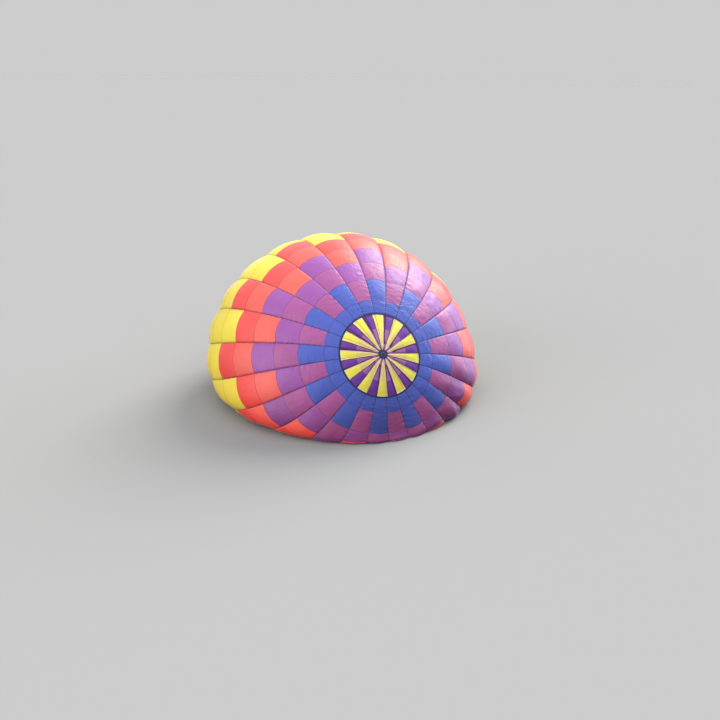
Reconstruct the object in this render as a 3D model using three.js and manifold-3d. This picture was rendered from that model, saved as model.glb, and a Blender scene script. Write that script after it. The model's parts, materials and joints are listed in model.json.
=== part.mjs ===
// Hot air balloon lying on its side, part way through being filled with cold air.
// Millimetres, +Z up. The crown faces +X, and the mouth, burner and basket are at the -X end.
// The origin is the middle of the air inside the envelope; the ground is GROUND_DROP below it.
import * as THREE from 'three';
import { mergeVertices } from 'three/addons/utils/BufferGeometryUtils.js';
import Module from 'manifold-3d';

const wasm = await Module();
wasm.setup();

// Place of the crown ring and the ground, from the origin
const CROWN_FORWARD = 5500;
const GROUND_DROP = 4400;

// Envelope: gores, and panel rows along a gore, from the crown
const GORES = 24;
const FIRST_TAPE_DEG = 19.5;
const VENT_EDGE = 2480;
const VALVE_LAP = 300;
const FIRST_SEAM = 3350;
const ROW = 1520;
const FULL_ROWS = 12;
const MOUTH_EDGE = FIRST_SEAM + FULL_ROWS * ROW;
const CLOTH = 10;
const FIT_GAP = 0.3;
const GORE_STRIPS = 4;

// Envelope: crown curve, in radians of turn along the gore length in metres
const TURN = { steady: 0.0961, easing: -0.00406, tightening: 0.0005 };

// Envelope: lying pose of the filled end
const CROWN_HEIGHT = 4500;
const CROWN_TILT = THREE.MathUtils.degToRad(34);
const SIDE_SHIFT = 160;
const SETTLE = 0.0194;
const NARROWING = 0.0606;
const TOP_SPREAD = -0.0616;
const LOW_SPREAD = 482;
const SIDE_SLACK = 0.0505;
const SIDE_SAG = 377;
const SIDE_DRIFT = 470;
const TAPE_CROWDING = THREE.MathUtils.degToRad(1.94);
const GROUND_EDGE = 774;
const BELLY_TUCK = 0.365;
const BELLY_DEPTH = 2970;
const TOE_TUCK = 300;

// Envelope: outward puff of each gore between its tapes, at the widest ring
const PUFF = 150;
const PUFF_RADIUS = 8500;
const PUFF_RUN_IN = 1500;

// Envelope: lower cone, from the widest ring down to the mouth
const CONE_START = { top: 12900, belly: 8400, turnsIn: 0.2 };
const MOUTH = { back: 14600, side: 0, height: 1800, halfWidth: 2050, halfHeight: 1720, lean: 250 };
const MOUTH_CLOSING = { mean: THREE.MathUtils.degToRad(38), top: THREE.MathUtils.degToRad(25) };
const CONE_FULLNESS = { mean: 1.1, top: 0.35 };

// Crown: the valve's apex, the ring, and the load tapes that cross the vent
const APEX = 1;
const APEX_FLAT = 60;
const RING = { outer: 150, inner: 85, thick: 14, lift: 12, grip: 25 };
const TAPE = { width: 45, thick: 4, lift: 0.8, grip: 250 };

// Mouth band and flying wires
const BAND = { width: 60, thick: 8 };
const WIRES = { count: 12, radius: 3, span: 2850, thimble: 12, karabiner: 26 };

// Basket on its side, its floor at the far end
const BASKET = { length: 1300, width: 1150, height: 1100, corner: 130, wall: 38 };
const BASKET_FLOOR = 18;
const BASKET_LIFT = 60;
const RIM = { wide: 84, deep: 78, bevel: 24 };
const RUNNER = { wide: 60, deep: 45, spread: 430 };
const FOOT_HOLE = { long: 190, high: 130, fromFloor: 470 };

// Load frame, uprights and burner
const FRAME = { half: 420, tube: 19, corner: 28.5 };
const UPRIGHT = { length: 860, radius: 36, neck: 25, taper: 0.04 };
const GIMBAL = { halfSide: 250, halfUp: 330, tube: 13 };
const PIN = { radius: 9, clearance: 0.5, boss: 17, reach: 26, inset: 3 };
const CROSSBAR = { radius: 20, half: 285 };
const VALVE_BODY = { deep: 90, wide: 110, high: 90 };
const LEVER = { radius: 12, from: 20, to: 150, back: 60, block: 40, blockBack: 50 };
const CAN = { radius: 118, wall: 3, length: 420, spacing: 300, base: 84, shoulder: 70, back: 45 };
const COIL = { radius: 92, tube: 9, turns: 2, pitch: 40, start: 150, lead: 20 };
const STEM = { radius: 6, side: 69, bend: 40 };

// Fuel cylinder, from its foot to the collar round its valve
const CYLINDER = { radius: 148, length: 860, foot: 118, footRise: 60 };
const SHOULDER = { radius: 127, drop: 20, sideDrop: 70 };
const COLLAR = { outer: 92, inner: 80, high: 95 };
const CYLINDER_VALVE = { base: 40, top: 34, rise: 12, below: 20 };

// Finishes
const finish = (color, roughness, metalness = 0) =>
  new THREE.MeshStandardMaterial({ color, roughness, metalness });
const ripstop = {
  plum: finish(0xb263b0, 0.6),
  coral: finish(0xff6858, 0.6),
  yellow: finish(0xffe045, 0.6),
};
const webbing = finish(0xd9d2bc, 0.8);
const steel = finish(0xb8bcc2, 0.3, 0.9);
const brass = finish(0xb08d3c, 0.4, 0.9);
const wicker = finish(0xb98a4e, 0.8);
const hide = finish(0x5b3a22, 0.7);
const plywood = finish(0xc8a56c, 0.7);
const cylinderPaint = finish(0xd8d8d4, 0.4, 0.2);

const balloon = new THREE.Group();
balloon.position.set(CROWN_FORWARD, 0, -GROUND_DROP);

function addPiece(name, geometry, material) {
  const mesh = new THREE.Mesh(geometry, material);
  mesh.name = name;
  balloon.add(mesh);
}

// Solid geometry helpers

function toSolid(geometry) {
  const bare = geometry.clone();
  bare.deleteAttribute('normal');
  bare.deleteAttribute('uv');
  const merged = mergeVertices(bare, 1e-4);
  const mesh = new wasm.Mesh({
    numProp: 3,
    vertProperties: new Float32Array(merged.attributes.position.array),
    triVerts: new Uint32Array(merged.index.array),
  });
  return new wasm.Manifold(mesh);
}

function toGeometry(solid) {
  const mesh = solid.getMesh();
  const geometry = new THREE.BufferGeometry();
  geometry.setAttribute('position', new THREE.BufferAttribute(mesh.vertProperties, 3));
  geometry.setIndex(new THREE.BufferAttribute(mesh.triVerts, 1));
  geometry.computeVertexNormals();
  return geometry;
}

function unite(geometries, cuts = []) {
  let solid = toSolid(geometries[0]);
  for (const geometry of geometries.slice(1)) {
    solid = solid.add(toSolid(geometry));
  }
  for (const cut of cuts) {
    solid = solid.subtract(toSolid(cut));
  }
  return toGeometry(solid);
}

function rod(from, to, radius, sides = 8) {
  const along = new THREE.Vector3().subVectors(to, from);
  const geometry = new THREE.CylinderGeometry(radius, radius, along.length(), sides);
  const turn = new THREE.Quaternion().setFromUnitVectors(new THREE.Vector3(0, 1, 0), along.normalize());
  geometry.applyQuaternion(turn);
  geometry.translate((from.x + to.x) / 2, (from.y + to.y) / 2, (from.z + to.z) / 2);
  return geometry;
}

function ball(centre, radius, around = 8, high = 6) {
  const geometry = new THREE.SphereGeometry(radius, around, high);
  geometry.translate(centre.x, centre.y, centre.z);
  return geometry;
}

function block(centre, size) {
  const geometry = new THREE.BoxGeometry(size.x, size.y, size.z);
  geometry.translate(centre.x, centre.y, centre.z);
  return geometry;
}

const point = (x, y, z) => new THREE.Vector3(x, y, z);

// A closed sheet between two matching grids of points. A wrapped sheet closes round on
// itself, and a capped one shares its first row as a single point.
function sheetBody(outer, inner, { wrapped = false, capped = false } = {}) {
  const rows = outer.length;
  const columns = outer[0].length;
  const positions = [];
  const triangles = [];
  const place = (grid) => {
    const start = positions.length / 3;
    grid.forEach((row, i) => {
      const used = capped && i === 0 ? row.slice(0, 1) : row;
      used.forEach((p) => positions.push(p.x, p.y, p.z));
    });
    return (i, j) => {
      if (capped && i === 0) return start;
      const before = capped ? 1 + (i - 1) * columns : i * columns;
      return start + before + (wrapped ? j % columns : j);
    };
  };
  const out = place(outer);
  const inn = place(inner);
  const quad = (a, b, c, d) => {
    if (a !== b) triangles.push(a, c, b);
    if (c !== d) triangles.push(a, d, c);
  };
  const spans = wrapped ? columns : columns - 1;
  for (let i = 0; i < rows - 1; i += 1) {
    for (let j = 0; j < spans; j += 1) {
      quad(out(i, j), out(i, j + 1), out(i + 1, j + 1), out(i + 1, j));
      quad(inn(i, j), inn(i + 1, j), inn(i + 1, j + 1), inn(i, j + 1));
    }
  }
  for (let j = 0; j < spans; j += 1) {
    if (!capped) quad(inn(0, j), inn(0, j + 1), out(0, j + 1), out(0, j));
    quad(out(rows - 1, j), out(rows - 1, j + 1), inn(rows - 1, j + 1), inn(rows - 1, j));
  }
  if (!wrapped) {
    for (let i = 0; i < rows - 1; i += 1) {
      quad(out(i, 0), out(i + 1, 0), inn(i + 1, 0), inn(i, 0));
      quad(out(i, spans), inn(i, spans), inn(i + 1, spans), out(i + 1, spans));
    }
  }
  const geometry = new THREE.BufferGeometry();
  geometry.setAttribute('position', new THREE.Float32BufferAttribute(positions, 3));
  geometry.setIndex(triangles);
  geometry.computeVertexNormals();
  return geometry;
}

// Envelope surface

// Radius of the crown curve and its depth behind the crown, at a length along the gore.
const CURVE_STEP = 20;
const crownCurve = [{ radius: 0, depth: 0 }];
for (let s = CURVE_STEP / 2; s < 1.2 * CONE_START.top; s += CURVE_STEP) {
  const m = s / 1000;
  const turn = TURN.steady * m + TURN.easing * m * m + TURN.tightening * m * m * m;
  const last = crownCurve[crownCurve.length - 1];
  crownCurve.push({
    radius: last.radius + CURVE_STEP * Math.cos(turn),
    depth: last.depth + CURVE_STEP * Math.sin(turn),
  });
}

function crownCurveAt(s) {
  const index = Math.min(s / CURVE_STEP, crownCurve.length - 2);
  const i = Math.floor(index);
  const part = index - i;
  const mix = (key) => crownCurve[i][key] * (1 - part) + crownCurve[i + 1][key] * part;
  return { radius: mix('radius'), depth: mix('depth') };
}

// How much of its puff a gore has: none at the vent edge and at the mouth.
function puffShare(s) {
  const near = Math.min(s - VENT_EDGE, MOUTH_EDGE - s) / PUFF_RUN_IN;
  return THREE.MathUtils.smoothstep(near, 0, 1);
}

// Filled end, before it meets the ground. phi runs from the top towards +Y.
function filledEnd(s, phi, puff) {
  const decametres = s / 10000;
  const spread = decametres * decametres;
  const up = Math.cos(phi);
  const side = Math.sin(phi);
  const curve = crownCurveAt(s * (1 + SIDE_SLACK * side * decametres));
  const radius = curve.radius * (1 + (puff * puffShare(s)) / PUFF_RADIUS);
  const angle = phi + TAPE_CROWDING * side;
  const across = radius * Math.sin(angle) * (1 - NARROWING * decametres)
    + LOW_SPREAD * side * Math.max(-up, 0) * spread;
  const rise = radius * Math.cos(angle) * (1 + TOP_SPREAD * up * decametres);
  const behind = curve.depth - (SIDE_SAG * Math.cos(2 * phi) + SIDE_DRIFT * side) * spread;
  return point(
    -behind * Math.cos(CROWN_TILT) - rise * Math.sin(CROWN_TILT),
    across,
    CROWN_HEIGHT - behind * Math.sin(CROWN_TILT) + rise * Math.cos(CROWN_TILT)
      + (SETTLE * curve.depth * curve.depth) / 1000,
  );
}

// Lower cone, a smooth run from the filled end to the mouth.
function lowerCone(s, phi, start, puff) {
  const length = MOUTH_EDGE - start;
  const t = (s - start) / length;
  const from = filledEnd(start, phi, puff);
  const along = filledEnd(start + 50, phi, puff).sub(filledEnd(start - 50, phi, puff)).divideScalar(100);
  const to = point(
    -MOUTH.back + MOUTH.lean * Math.cos(phi),
    MOUTH.halfWidth * Math.sin(phi) - SIDE_SHIFT + MOUTH.side,
    MOUTH.height + MOUTH.halfHeight * Math.cos(phi),
  );
  const closing = MOUTH_CLOSING.mean + MOUTH_CLOSING.top * Math.cos(phi);
  const leaving = point(
    -Math.cos(closing),
    -Math.sin(closing) * Math.sin(phi),
    -Math.sin(closing) * Math.cos(phi),
  );
  const pull = length * (CONE_FULLNESS.mean + CONE_FULLNESS.top * Math.cos(phi));
  const swell = (puff * puffShare(s) * 4 * t * (1 - t)) / PUFF_RADIUS;
  return point(0, 0, 0)
    .addScaledVector(from, 2 * t ** 3 - 3 * t ** 2 + 1)
    .addScaledVector(along, (t ** 3 - 2 * t ** 2 + t) * pull)
    .addScaledVector(to, 3 * t ** 2 - 2 * t ** 3)
    .addScaledVector(leaving, (t ** 3 - t ** 2) * pull)
    .add(point(0, Math.sin(phi), Math.cos(phi)).multiplyScalar(swell * 1000));
}

// Length along the gore at which the lower cone begins: sooner under the belly.
function coneStart(phi) {
  const { top, belly, turnsIn } = CONE_START;
  const under = THREE.MathUtils.smoothstep((-Math.cos(phi) - turnsIn) / (1 - turnsIn), 0, 1);
  return top - (top - belly) * under;
}

// Point of the envelope's outer face: s along the gore, phi round the axis.
function envelopePoint(s, phi, puff = 0) {
  const start = coneStart(phi);
  const free = s < start ? filledEnd(s, phi, puff) : lowerCone(s, phi, start, puff);
  const height = GROUND_EDGE * Math.log1p(Math.exp(free.z / GROUND_EDGE));
  const pressed = Math.tanh((height - free.z) / BELLY_DEPTH);
  const x = free.x - TOE_TUCK * pressed * pressed;
  return point(x, free.y * (1 - BELLY_TUCK * pressed) + SIDE_SHIFT, height);
}

function envelopeNormal(s, phi) {
  const reach = 40;
  const spin = reach / 5000;
  const along = envelopePoint(s + reach, phi).sub(envelopePoint(Math.max(s - reach, 1), phi));
  const round = envelopePoint(s, phi + spin).sub(envelopePoint(s, phi - spin));
  return round.cross(along).normalize();
}

const tapeAngle = (k) => THREE.MathUtils.degToRad(-90 - (360 / GORES) * k + FIRST_TAPE_DEG);

// Length stations along a gore, with the valve's lap and the mouth band among them.
const goreStations = [VENT_EDGE, VENT_EDGE + VALVE_LAP];
for (let row = 0; row < FULL_ROWS; row += 1) {
  goreStations.push(FIRST_SEAM + ROW * row);
}
goreStations.push(MOUTH_EDGE - BAND.width, MOUTH_EDGE);

function goreGeometry(k) {
  const left = tapeAngle(k);
  const right = tapeAngle(k + 1);
  const outer = [];
  const inner = [];
  for (const s of goreStations) {
    const trim = FIT_GAP / 2 / Math.max(envelopePoint(s, left).distanceTo(envelopePoint(s, right)), 1);
    const outerRow = [];
    const innerRow = [];
    for (let j = 0; j <= GORE_STRIPS; j += 1) {
      const share = THREE.MathUtils.clamp(j / GORE_STRIPS, trim, 1 - trim);
      const phi = left + (right - left) * share;
      const puff = PUFF * 4 * share * (1 - share);
      const p = envelopePoint(s, phi, puff);
      outerRow.push(p);
      innerRow.push(p.clone().addScaledVector(envelopeNormal(s, phi), -CLOTH));
    }
    outer.push(outerRow);
    inner.push(innerRow);
  }
  return sheetBody(outer, inner);
}

for (let k = 0; k < GORES; k += 1) {
  const material = k % 2 === 0 ? ripstop.coral : ripstop.plum;
  addPiece(`gore_${String(k + 1).padStart(2, '0')}`, goreGeometry(k), material);
}

// Parachute valve, seated inside the vent edge
function valveGeometry() {
  const stations = [APEX, VENT_EDGE / 2, VENT_EDGE, VENT_EDGE + VALVE_LAP - APEX];
  const outer = [];
  const inner = [];
  for (const s of stations) {
    const outerRow = [];
    const innerRow = [];
    for (let j = 0; j < GORES * GORE_STRIPS; j += 1) {
      const phi = tapeAngle(j / GORE_STRIPS);
      const share = (j % GORE_STRIPS) / GORE_STRIPS;
      const p = envelopePoint(s, phi, s > VENT_EDGE ? PUFF * 4 * share * (1 - share) : 0);
      const normal = envelopeNormal(Math.max(s, APEX_FLAT), phi);
      outerRow.push(p.clone().addScaledVector(normal, -CLOTH - 2 * FIT_GAP));
      innerRow.push(p.clone().addScaledVector(normal, -2 * CLOTH - 2 * FIT_GAP));
    }
    outer.push(outerRow);
    inner.push(innerRow);
  }
  return sheetBody(outer, inner, { wrapped: true, capped: true });
}
addPiece('parachute_valve', valveGeometry(), ripstop.yellow);

// Crown ring, and the load tapes that run from it over the valve to the vent edge
function crownTape(k) {
  const phi = tapeAngle(k);
  const spin = 0.01;
  const outer = [];
  const inner = [];
  for (const s of [RING.inner + RING.grip, VENT_EDGE / 2, VENT_EDGE, VENT_EDGE + TAPE.grip]) {
    const middle = envelopePoint(s, phi);
    const normal = envelopeNormal(Math.max(s, APEX_FLAT), phi);
    const across = envelopePoint(s, phi + spin).sub(envelopePoint(s, phi - spin)).normalize();
    const corner = (side, height) => middle.clone()
      .addScaledVector(across, (side * TAPE.width) / 2)
      .addScaledVector(normal, height);
    outer.push([corner(1, TAPE.lift + TAPE.thick), corner(-1, TAPE.lift + TAPE.thick)]);
    inner.push([corner(1, TAPE.lift), corner(-1, TAPE.lift)]);
  }
  return sheetBody(outer, inner);
}

function crownGeometry() {
  const facing = point(Math.cos(CROWN_TILT), 0, Math.sin(CROWN_TILT));
  const ring = new THREE.LatheGeometry(
    [
      new THREE.Vector2(RING.inner, 0),
      new THREE.Vector2(RING.outer, 0),
      new THREE.Vector2(RING.outer, RING.thick),
      new THREE.Vector2(RING.inner, RING.thick),
      new THREE.Vector2(RING.inner, 0),
    ],
    GORES,
  );
  ring.applyQuaternion(new THREE.Quaternion().setFromUnitVectors(point(0, 1, 0), facing));
  const base = envelopePoint(APEX, 0).addScaledVector(facing, RING.lift - RING.thick);
  ring.translate(base.x, base.y, base.z);
  const tapes = Array.from({ length: GORES }, (_, k) => crownTape(k));
  return unite([ring, ...tapes]);
}
addPiece('crown_ring_and_tapes', crownGeometry(), webbing);

// Mouth band
function bandGeometry() {
  const outer = [];
  const inner = [];
  for (const s of [MOUTH_EDGE - BAND.width, MOUTH_EDGE]) {
    const outerRow = [];
    const innerRow = [];
    for (let j = 0; j < GORES * GORE_STRIPS; j += 1) {
      const phi = tapeAngle(j / GORE_STRIPS);
      const share = (j % GORE_STRIPS) / GORE_STRIPS;
      const p = envelopePoint(s, phi, PUFF * 4 * share * (1 - share));
      const normal = envelopeNormal(s, phi);
      outerRow.push(p.clone().addScaledVector(normal, BAND.thick + FIT_GAP));
      innerRow.push(p.clone().addScaledVector(normal, FIT_GAP));
    }
    outer.push(outerRow);
    inner.push(innerRow);
  }
  return sheetBody(outer, inner, { wrapped: true });
}
addPiece('mouth_band', bandGeometry(), webbing);

// Basket and its rigging share one centre line, along X
const rig = {
  y: MOUTH.side,
  z: BASKET_LIFT + BASKET.width / 2,
  frameX: -MOUTH.back - WIRES.span,
};
rig.rimX = rig.frameX - UPRIGHT.length;
rig.floorX = rig.rimX - BASKET.height;

function roundedOutline(halfY, halfZ, corner) {
  const shape = new THREE.Shape();
  shape.moveTo(-halfY + corner, -halfZ);
  shape.lineTo(halfY - corner, -halfZ);
  shape.absarc(halfY - corner, -halfZ + corner, corner, -Math.PI / 2, 0);
  shape.lineTo(halfY, halfZ - corner);
  shape.absarc(halfY - corner, halfZ - corner, corner, 0, Math.PI / 2);
  shape.lineTo(-halfY + corner, halfZ);
  shape.absarc(-halfY + corner, halfZ - corner, corner, Math.PI / 2, Math.PI);
  shape.lineTo(-halfY, -halfZ + corner);
  shape.absarc(-halfY + corner, -halfZ + corner, corner, Math.PI, 1.5 * Math.PI);
  return shape;
}

// Extrudes an outline in Y and Z along +X, from startX.
function alongX(shape, startX, depth, bevel = 0) {
  const geometry = new THREE.ExtrudeGeometry(shape, {
    depth: depth - 2 * bevel,
    bevelEnabled: bevel > 0,
    bevelThickness: bevel,
    bevelSize: bevel,
    bevelOffset: -bevel,
    bevelSegments: 1,
    curveSegments: 4,
  });
  const axes = new THREE.Matrix4().makeBasis(point(0, 1, 0), point(0, 0, 1), point(1, 0, 0));
  geometry.applyMatrix4(axes);
  geometry.translate(startX + bevel, rig.y, rig.z);
  return geometry;
}

function basketWall() {
  const { length, width, corner, wall } = BASKET;
  const outline = roundedOutline(length / 2, width / 2, corner);
  outline.holes.push(roundedOutline(length / 2 - wall, width / 2 - wall, corner - wall));
  const body = alongX(outline, rig.floorX, BASKET.height - RIM.deep - FIT_GAP);
  const holes = [-1, 1].map((side) => block(
    point(rig.floorX + FOOT_HOLE.fromFloor, rig.y + (side * length) / 2, rig.z),
    point(FOOT_HOLE.high, 3 * wall, FOOT_HOLE.long),
  ));
  return unite([body], holes);
}
addPiece('basket_wall', basketWall(), wicker);

const innerHalfY = BASKET.length / 2 - BASKET.wall - FIT_GAP;
const innerHalfZ = BASKET.width / 2 - BASKET.wall - FIT_GAP;
addPiece(
  'basket_floor',
  alongX(roundedOutline(innerHalfY, innerHalfZ, BASKET.corner - BASKET.wall), rig.floorX, BASKET_FLOOR),
  plywood,
);

function basketRim() {
  const over = (RIM.wide - BASKET.wall) / 2;
  const outline = roundedOutline(BASKET.length / 2 + over, BASKET.width / 2 + over, BASKET.corner + over);
  const inset = BASKET.wall + over;
  const hole = roundedOutline(BASKET.length / 2 - inset, BASKET.width / 2 - inset, BASKET.corner - inset);
  outline.holes.push(hole);
  return alongX(outline, rig.rimX - RIM.deep, RIM.deep, RIM.bevel);
}
addPiece('basket_rim', basketRim(), hide);

for (const [name, place] of [['left', -1], ['middle', 0], ['right', 1]]) {
  const geometry = block(
    point(rig.floorX - RUNNER.deep / 2 - FIT_GAP, rig.y + place * RUNNER.spread, rig.z),
    point(RUNNER.deep, RUNNER.wide, BASKET.width - 2 * BASKET.corner),
  );
  addPiece(`runner_${name}`, geometry, plywood);
}

// The four corners of the rig, numbered round from the lower left
const corners = [[-1, -1], [1, -1], [1, 1], [-1, 1]];

// Fuel cylinders, one in each corner of the basket
function cylinderGeometry(side, up) {
  const top = CYLINDER.length - COLLAR.high;
  const shell = [
    [0, 0],
    [CYLINDER.foot, 0],
    [CYLINDER.radius, CYLINDER.footRise],
    [CYLINDER.radius, top - SHOULDER.sideDrop],
    [SHOULDER.radius, top - SHOULDER.drop],
    [COLLAR.outer, top],
    [COLLAR.outer, CYLINDER.length],
    [COLLAR.inner, CYLINDER.length],
    [COLLAR.inner, top],
    [CYLINDER_VALVE.base, top + CYLINDER_VALVE.rise],
    [CYLINDER_VALVE.top, CYLINDER.length - CYLINDER_VALVE.below],
    [0, CYLINDER.length - CYLINDER_VALVE.below],
  ].map(([radius, height]) => new THREE.Vector2(radius, height));
  const geometry = new THREE.LatheGeometry(shell, 16);
  geometry.rotateZ(-Math.PI / 2);
  const reach = CYLINDER.radius + 2 * FIT_GAP;
  geometry.translate(
    rig.floorX + BASKET_FLOOR + FIT_GAP,
    rig.y + side * (innerHalfY - reach),
    rig.z + up * (innerHalfZ - reach),
  );
  return geometry;
}
corners.forEach(([side, up], i) => {
  addPiece(`fuel_cylinder_${i + 1}`, cylinderGeometry(side, up), cylinderPaint);
});

// Load frame, with a pivot boss on its left and right rails
const framePoint = (side, up) => point(rig.frameX, rig.y + side * FRAME.half, rig.z + up * FRAME.half);

// The four rods of a frame, with a ball at each corner
function frameRods(spot, radius, ballRadius, sides) {
  const balls = corners.map(([side, up]) => ball(spot(side, up), ballRadius));
  const rods = corners.map(([side, up], i) => {
    const [nextSide, nextUp] = corners[(i + 1) % corners.length];
    return rod(spot(side, up), spot(nextSide, nextUp), radius, sides);
  });
  return [...balls, ...rods];
}

function loadFrame() {
  const pieces = frameRods(framePoint, FRAME.tube, FRAME.corner, 10);
  const cuts = [];
  for (const side of [-1, 1]) {
    const rail = framePoint(side, 0);
    const inward = (distance) => rail.clone().add(point(0, -side * distance, 0));
    const hole = PIN.radius + PIN.clearance;
    pieces.push(rod(rail, inward(FRAME.tube + PIN.reach), PIN.boss, 12));
    cuts.push(rod(inward(FRAME.tube / 2), inward(FRAME.tube + 2 * PIN.reach), hole, 12));
  }
  return unite(pieces, cuts);
}
addPiece('load_frame', loadFrame(), steel);

// A padded upright with square-cut ends, so that it meets the rim and the frame face to face
function uprightGeometry(foot, top) {
  const sides = 12;
  const stations = [
    { share: 0, radius: UPRIGHT.neck },
    { share: UPRIGHT.taper, radius: UPRIGHT.radius },
    { share: 1 - UPRIGHT.taper, radius: UPRIGHT.radius },
    { share: 1, radius: UPRIGHT.neck },
  ];
  const positions = [...foot.toArray()];
  for (const { share, radius } of stations) {
    const centre = foot.clone().lerp(top, share);
    for (let j = 0; j < sides; j += 1) {
      const turn = (2 * Math.PI * j) / sides;
      positions.push(centre.x, centre.y + radius * Math.cos(turn), centre.z + radius * Math.sin(turn));
    }
  }
  positions.push(...top.toArray());
  const triangles = [];
  const at = (i, j) => 1 + i * sides + (j % sides);
  const lastRing = stations.length - 1;
  const tip = 1 + stations.length * sides;
  for (let j = 0; j < sides; j += 1) {
    triangles.push(0, at(0, j + 1), at(0, j));
    for (let i = 0; i < lastRing; i += 1) {
      triangles.push(at(i, j), at(i, j + 1), at(i + 1, j + 1));
      triangles.push(at(i, j), at(i + 1, j + 1), at(i + 1, j));
    }
    triangles.push(tip, at(lastRing, j), at(lastRing, j + 1));
  }
  const geometry = new THREE.BufferGeometry();
  geometry.setAttribute('position', new THREE.Float32BufferAttribute(positions, 3));
  geometry.setIndex(triangles);
  geometry.computeVertexNormals();
  return geometry;
}

// The uprights stand where the rim's centre line turns its corners
const cornerInset = BASKET.corner - (BASKET.corner - BASKET.wall / 2) * Math.SQRT1_2;
corners.forEach(([side, up], i) => {
  const foot = point(
    rig.rimX + FIT_GAP,
    rig.y + side * (BASKET.length / 2 - cornerInset),
    rig.z + up * (BASKET.width / 2 - cornerInset),
  );
  const top = framePoint(side, up);
  top.x -= FRAME.corner + FIT_GAP;
  addPiece(`upright_${i + 1}`, uprightGeometry(foot, top), hide);
});

// Flying wires from one corner of the load frame to every second load tape on its side
function wireFan([side, up]) {
  const corner = framePoint(side, up);
  corner.x += FRAME.corner + WIRES.karabiner + FIT_GAP;
  const pieces = [ball(corner, WIRES.karabiner)];
  for (let wire = 0; wire < WIRES.count; wire += 1) {
    const phi = tapeAngle((wire * GORES) / WIRES.count);
    const sideOfTape = Math.sin(phi) < 0 ? -1 : 1;
    const upOfTape = Math.cos(phi) < 0 ? -1 : 1;
    if (sideOfTape !== side || upOfTape !== up) continue;
    const edge = envelopePoint(MOUTH_EDGE, phi);
    const normal = envelopeNormal(MOUTH_EDGE, phi);
    const leaving = edge.clone().sub(envelopePoint(MOUTH_EDGE - BAND.width, phi)).normalize();
    const end = edge.addScaledVector(normal, FIT_GAP + BAND.thick / 2)
      .addScaledVector(leaving, WIRES.thimble + FIT_GAP);
    pieces.push(ball(end, WIRES.thimble, 6, 5));
    pieces.push(rod(end, corner, WIRES.radius, 6));
  }
  return unite(pieces);
}
for (let i = 0; i < corners.length; i += 1) {
  addPiece(`flying_wires_${i + 1}`, wireFan(corners[i]), steel);
}

// Gimbal frame, tilting on pins in the load frame, with a boss above and below for the burner
const gimbalPoint = (side, up) => point(
  rig.frameX,
  rig.y + side * GIMBAL.halfSide,
  rig.z + up * GIMBAL.halfUp,
);

function gimbalFrame() {
  const pieces = frameRods(gimbalPoint, GIMBAL.tube, GIMBAL.tube, 8);
  const cuts = [];
  for (const side of [-1, 1]) {
    const rail = gimbalPoint(side, 0);
    const tip = point(rail.x, rig.y + side * (FRAME.half - FRAME.tube), rail.z);
    pieces.push(rod(rail, tip, PIN.radius, 12));
  }
  for (const up of [-1, 1]) {
    const rail = gimbalPoint(0, up);
    const inward = (distance) => rail.clone().add(point(0, 0, -up * distance));
    pieces.push(rod(rail, inward(GIMBAL.tube + PIN.boss), PIN.boss, 12));
    cuts.push(rod(rail, inward(GIMBAL.tube + 2 * PIN.boss), PIN.radius + PIN.clearance, 12));
  }
  return unite(pieces, cuts);
}
addPiece('gimbal_frame', gimbalFrame(), steel);

// Burner: crossbar with its pins, two valve bodies with levers, two open cans and their coils
function burnerBlock() {
  const middle = point(rig.frameX, rig.y, rig.z);
  const upright = (half, radius) => rod(
    middle.clone().add(point(0, 0, -half)),
    middle.clone().add(point(0, 0, half)),
    radius,
    12,
  );
  const pieces = [
    upright(CROSSBAR.half, CROSSBAR.radius),
    upright(GIMBAL.halfUp - PIN.inset, PIN.radius),
  ];
  for (const up of [-1, 1]) {
    const valve = middle.clone().add(point(0, 0, (up * CAN.spacing) / 2));
    const onLever = (y) => valve.clone().add(point(-LEVER.back, y, 0));
    const pivot = valve.clone().add(point(-LEVER.blockBack, LEVER.from, 0));
    pieces.push(block(valve, point(VALVE_BODY.deep, VALVE_BODY.wide, VALVE_BODY.high)));
    pieces.push(rod(onLever(LEVER.from), onLever(LEVER.to), LEVER.radius, 8));
    pieces.push(block(pivot, point(LEVER.block, LEVER.block, LEVER.block)));
  }
  return unite(pieces);
}
addPiece('burner_block', burnerBlock(), brass);

// The cans stand on the front faces of the valve bodies
const canBack = rig.frameX + CAN.back;

function canGeometry(up) {
  const { radius, wall, length, base, shoulder } = CAN;
  const profile = [
    [0, 0],
    [base, 0],
    [radius, shoulder],
    [radius, length],
    [radius - wall, length],
    [radius - wall, shoulder + wall],
    [base - wall, wall],
    [0, wall],
  ].map(([r, h]) => new THREE.Vector2(r, h));
  const geometry = new THREE.LatheGeometry(profile, 20);
  geometry.rotateZ(-Math.PI / 2);
  geometry.translate(canBack + FIT_GAP, rig.y, rig.z + (up * CAN.spacing) / 2);
  return geometry;
}

function coilGeometry(up) {
  const z = rig.z + (up * CAN.spacing) / 2;
  const first = canBack + COIL.start;
  const last = first + (COIL.turns - 1) * COIL.pitch;
  const pieces = [];
  for (let turn = 0; turn < COIL.turns; turn += 1) {
    const ring = new THREE.TorusGeometry(COIL.radius, COIL.tube, 5, 12);
    ring.rotateY(Math.PI / 2);
    ring.translate(first + turn * COIL.pitch, rig.y, z);
    pieces.push(ring);
  }
  for (const side of [-1, 1]) {
    const foot = point(canBack + 2 * FIT_GAP + CAN.wall, rig.y + side * STEM.side, z);
    const knee = point(canBack + STEM.bend, foot.y, z);
    const joint = point(first - COIL.lead, rig.y + side * COIL.radius, z);
    pieces.push(rod(foot, knee, STEM.radius, 6));
    pieces.push(rod(knee, joint, STEM.radius, 6));
    pieces.push(ball(joint, STEM.radius, 6, 5));
    pieces.push(rod(joint, point(last, joint.y, z), STEM.radius, 6));
  }
  return unite(pieces);
}
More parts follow.
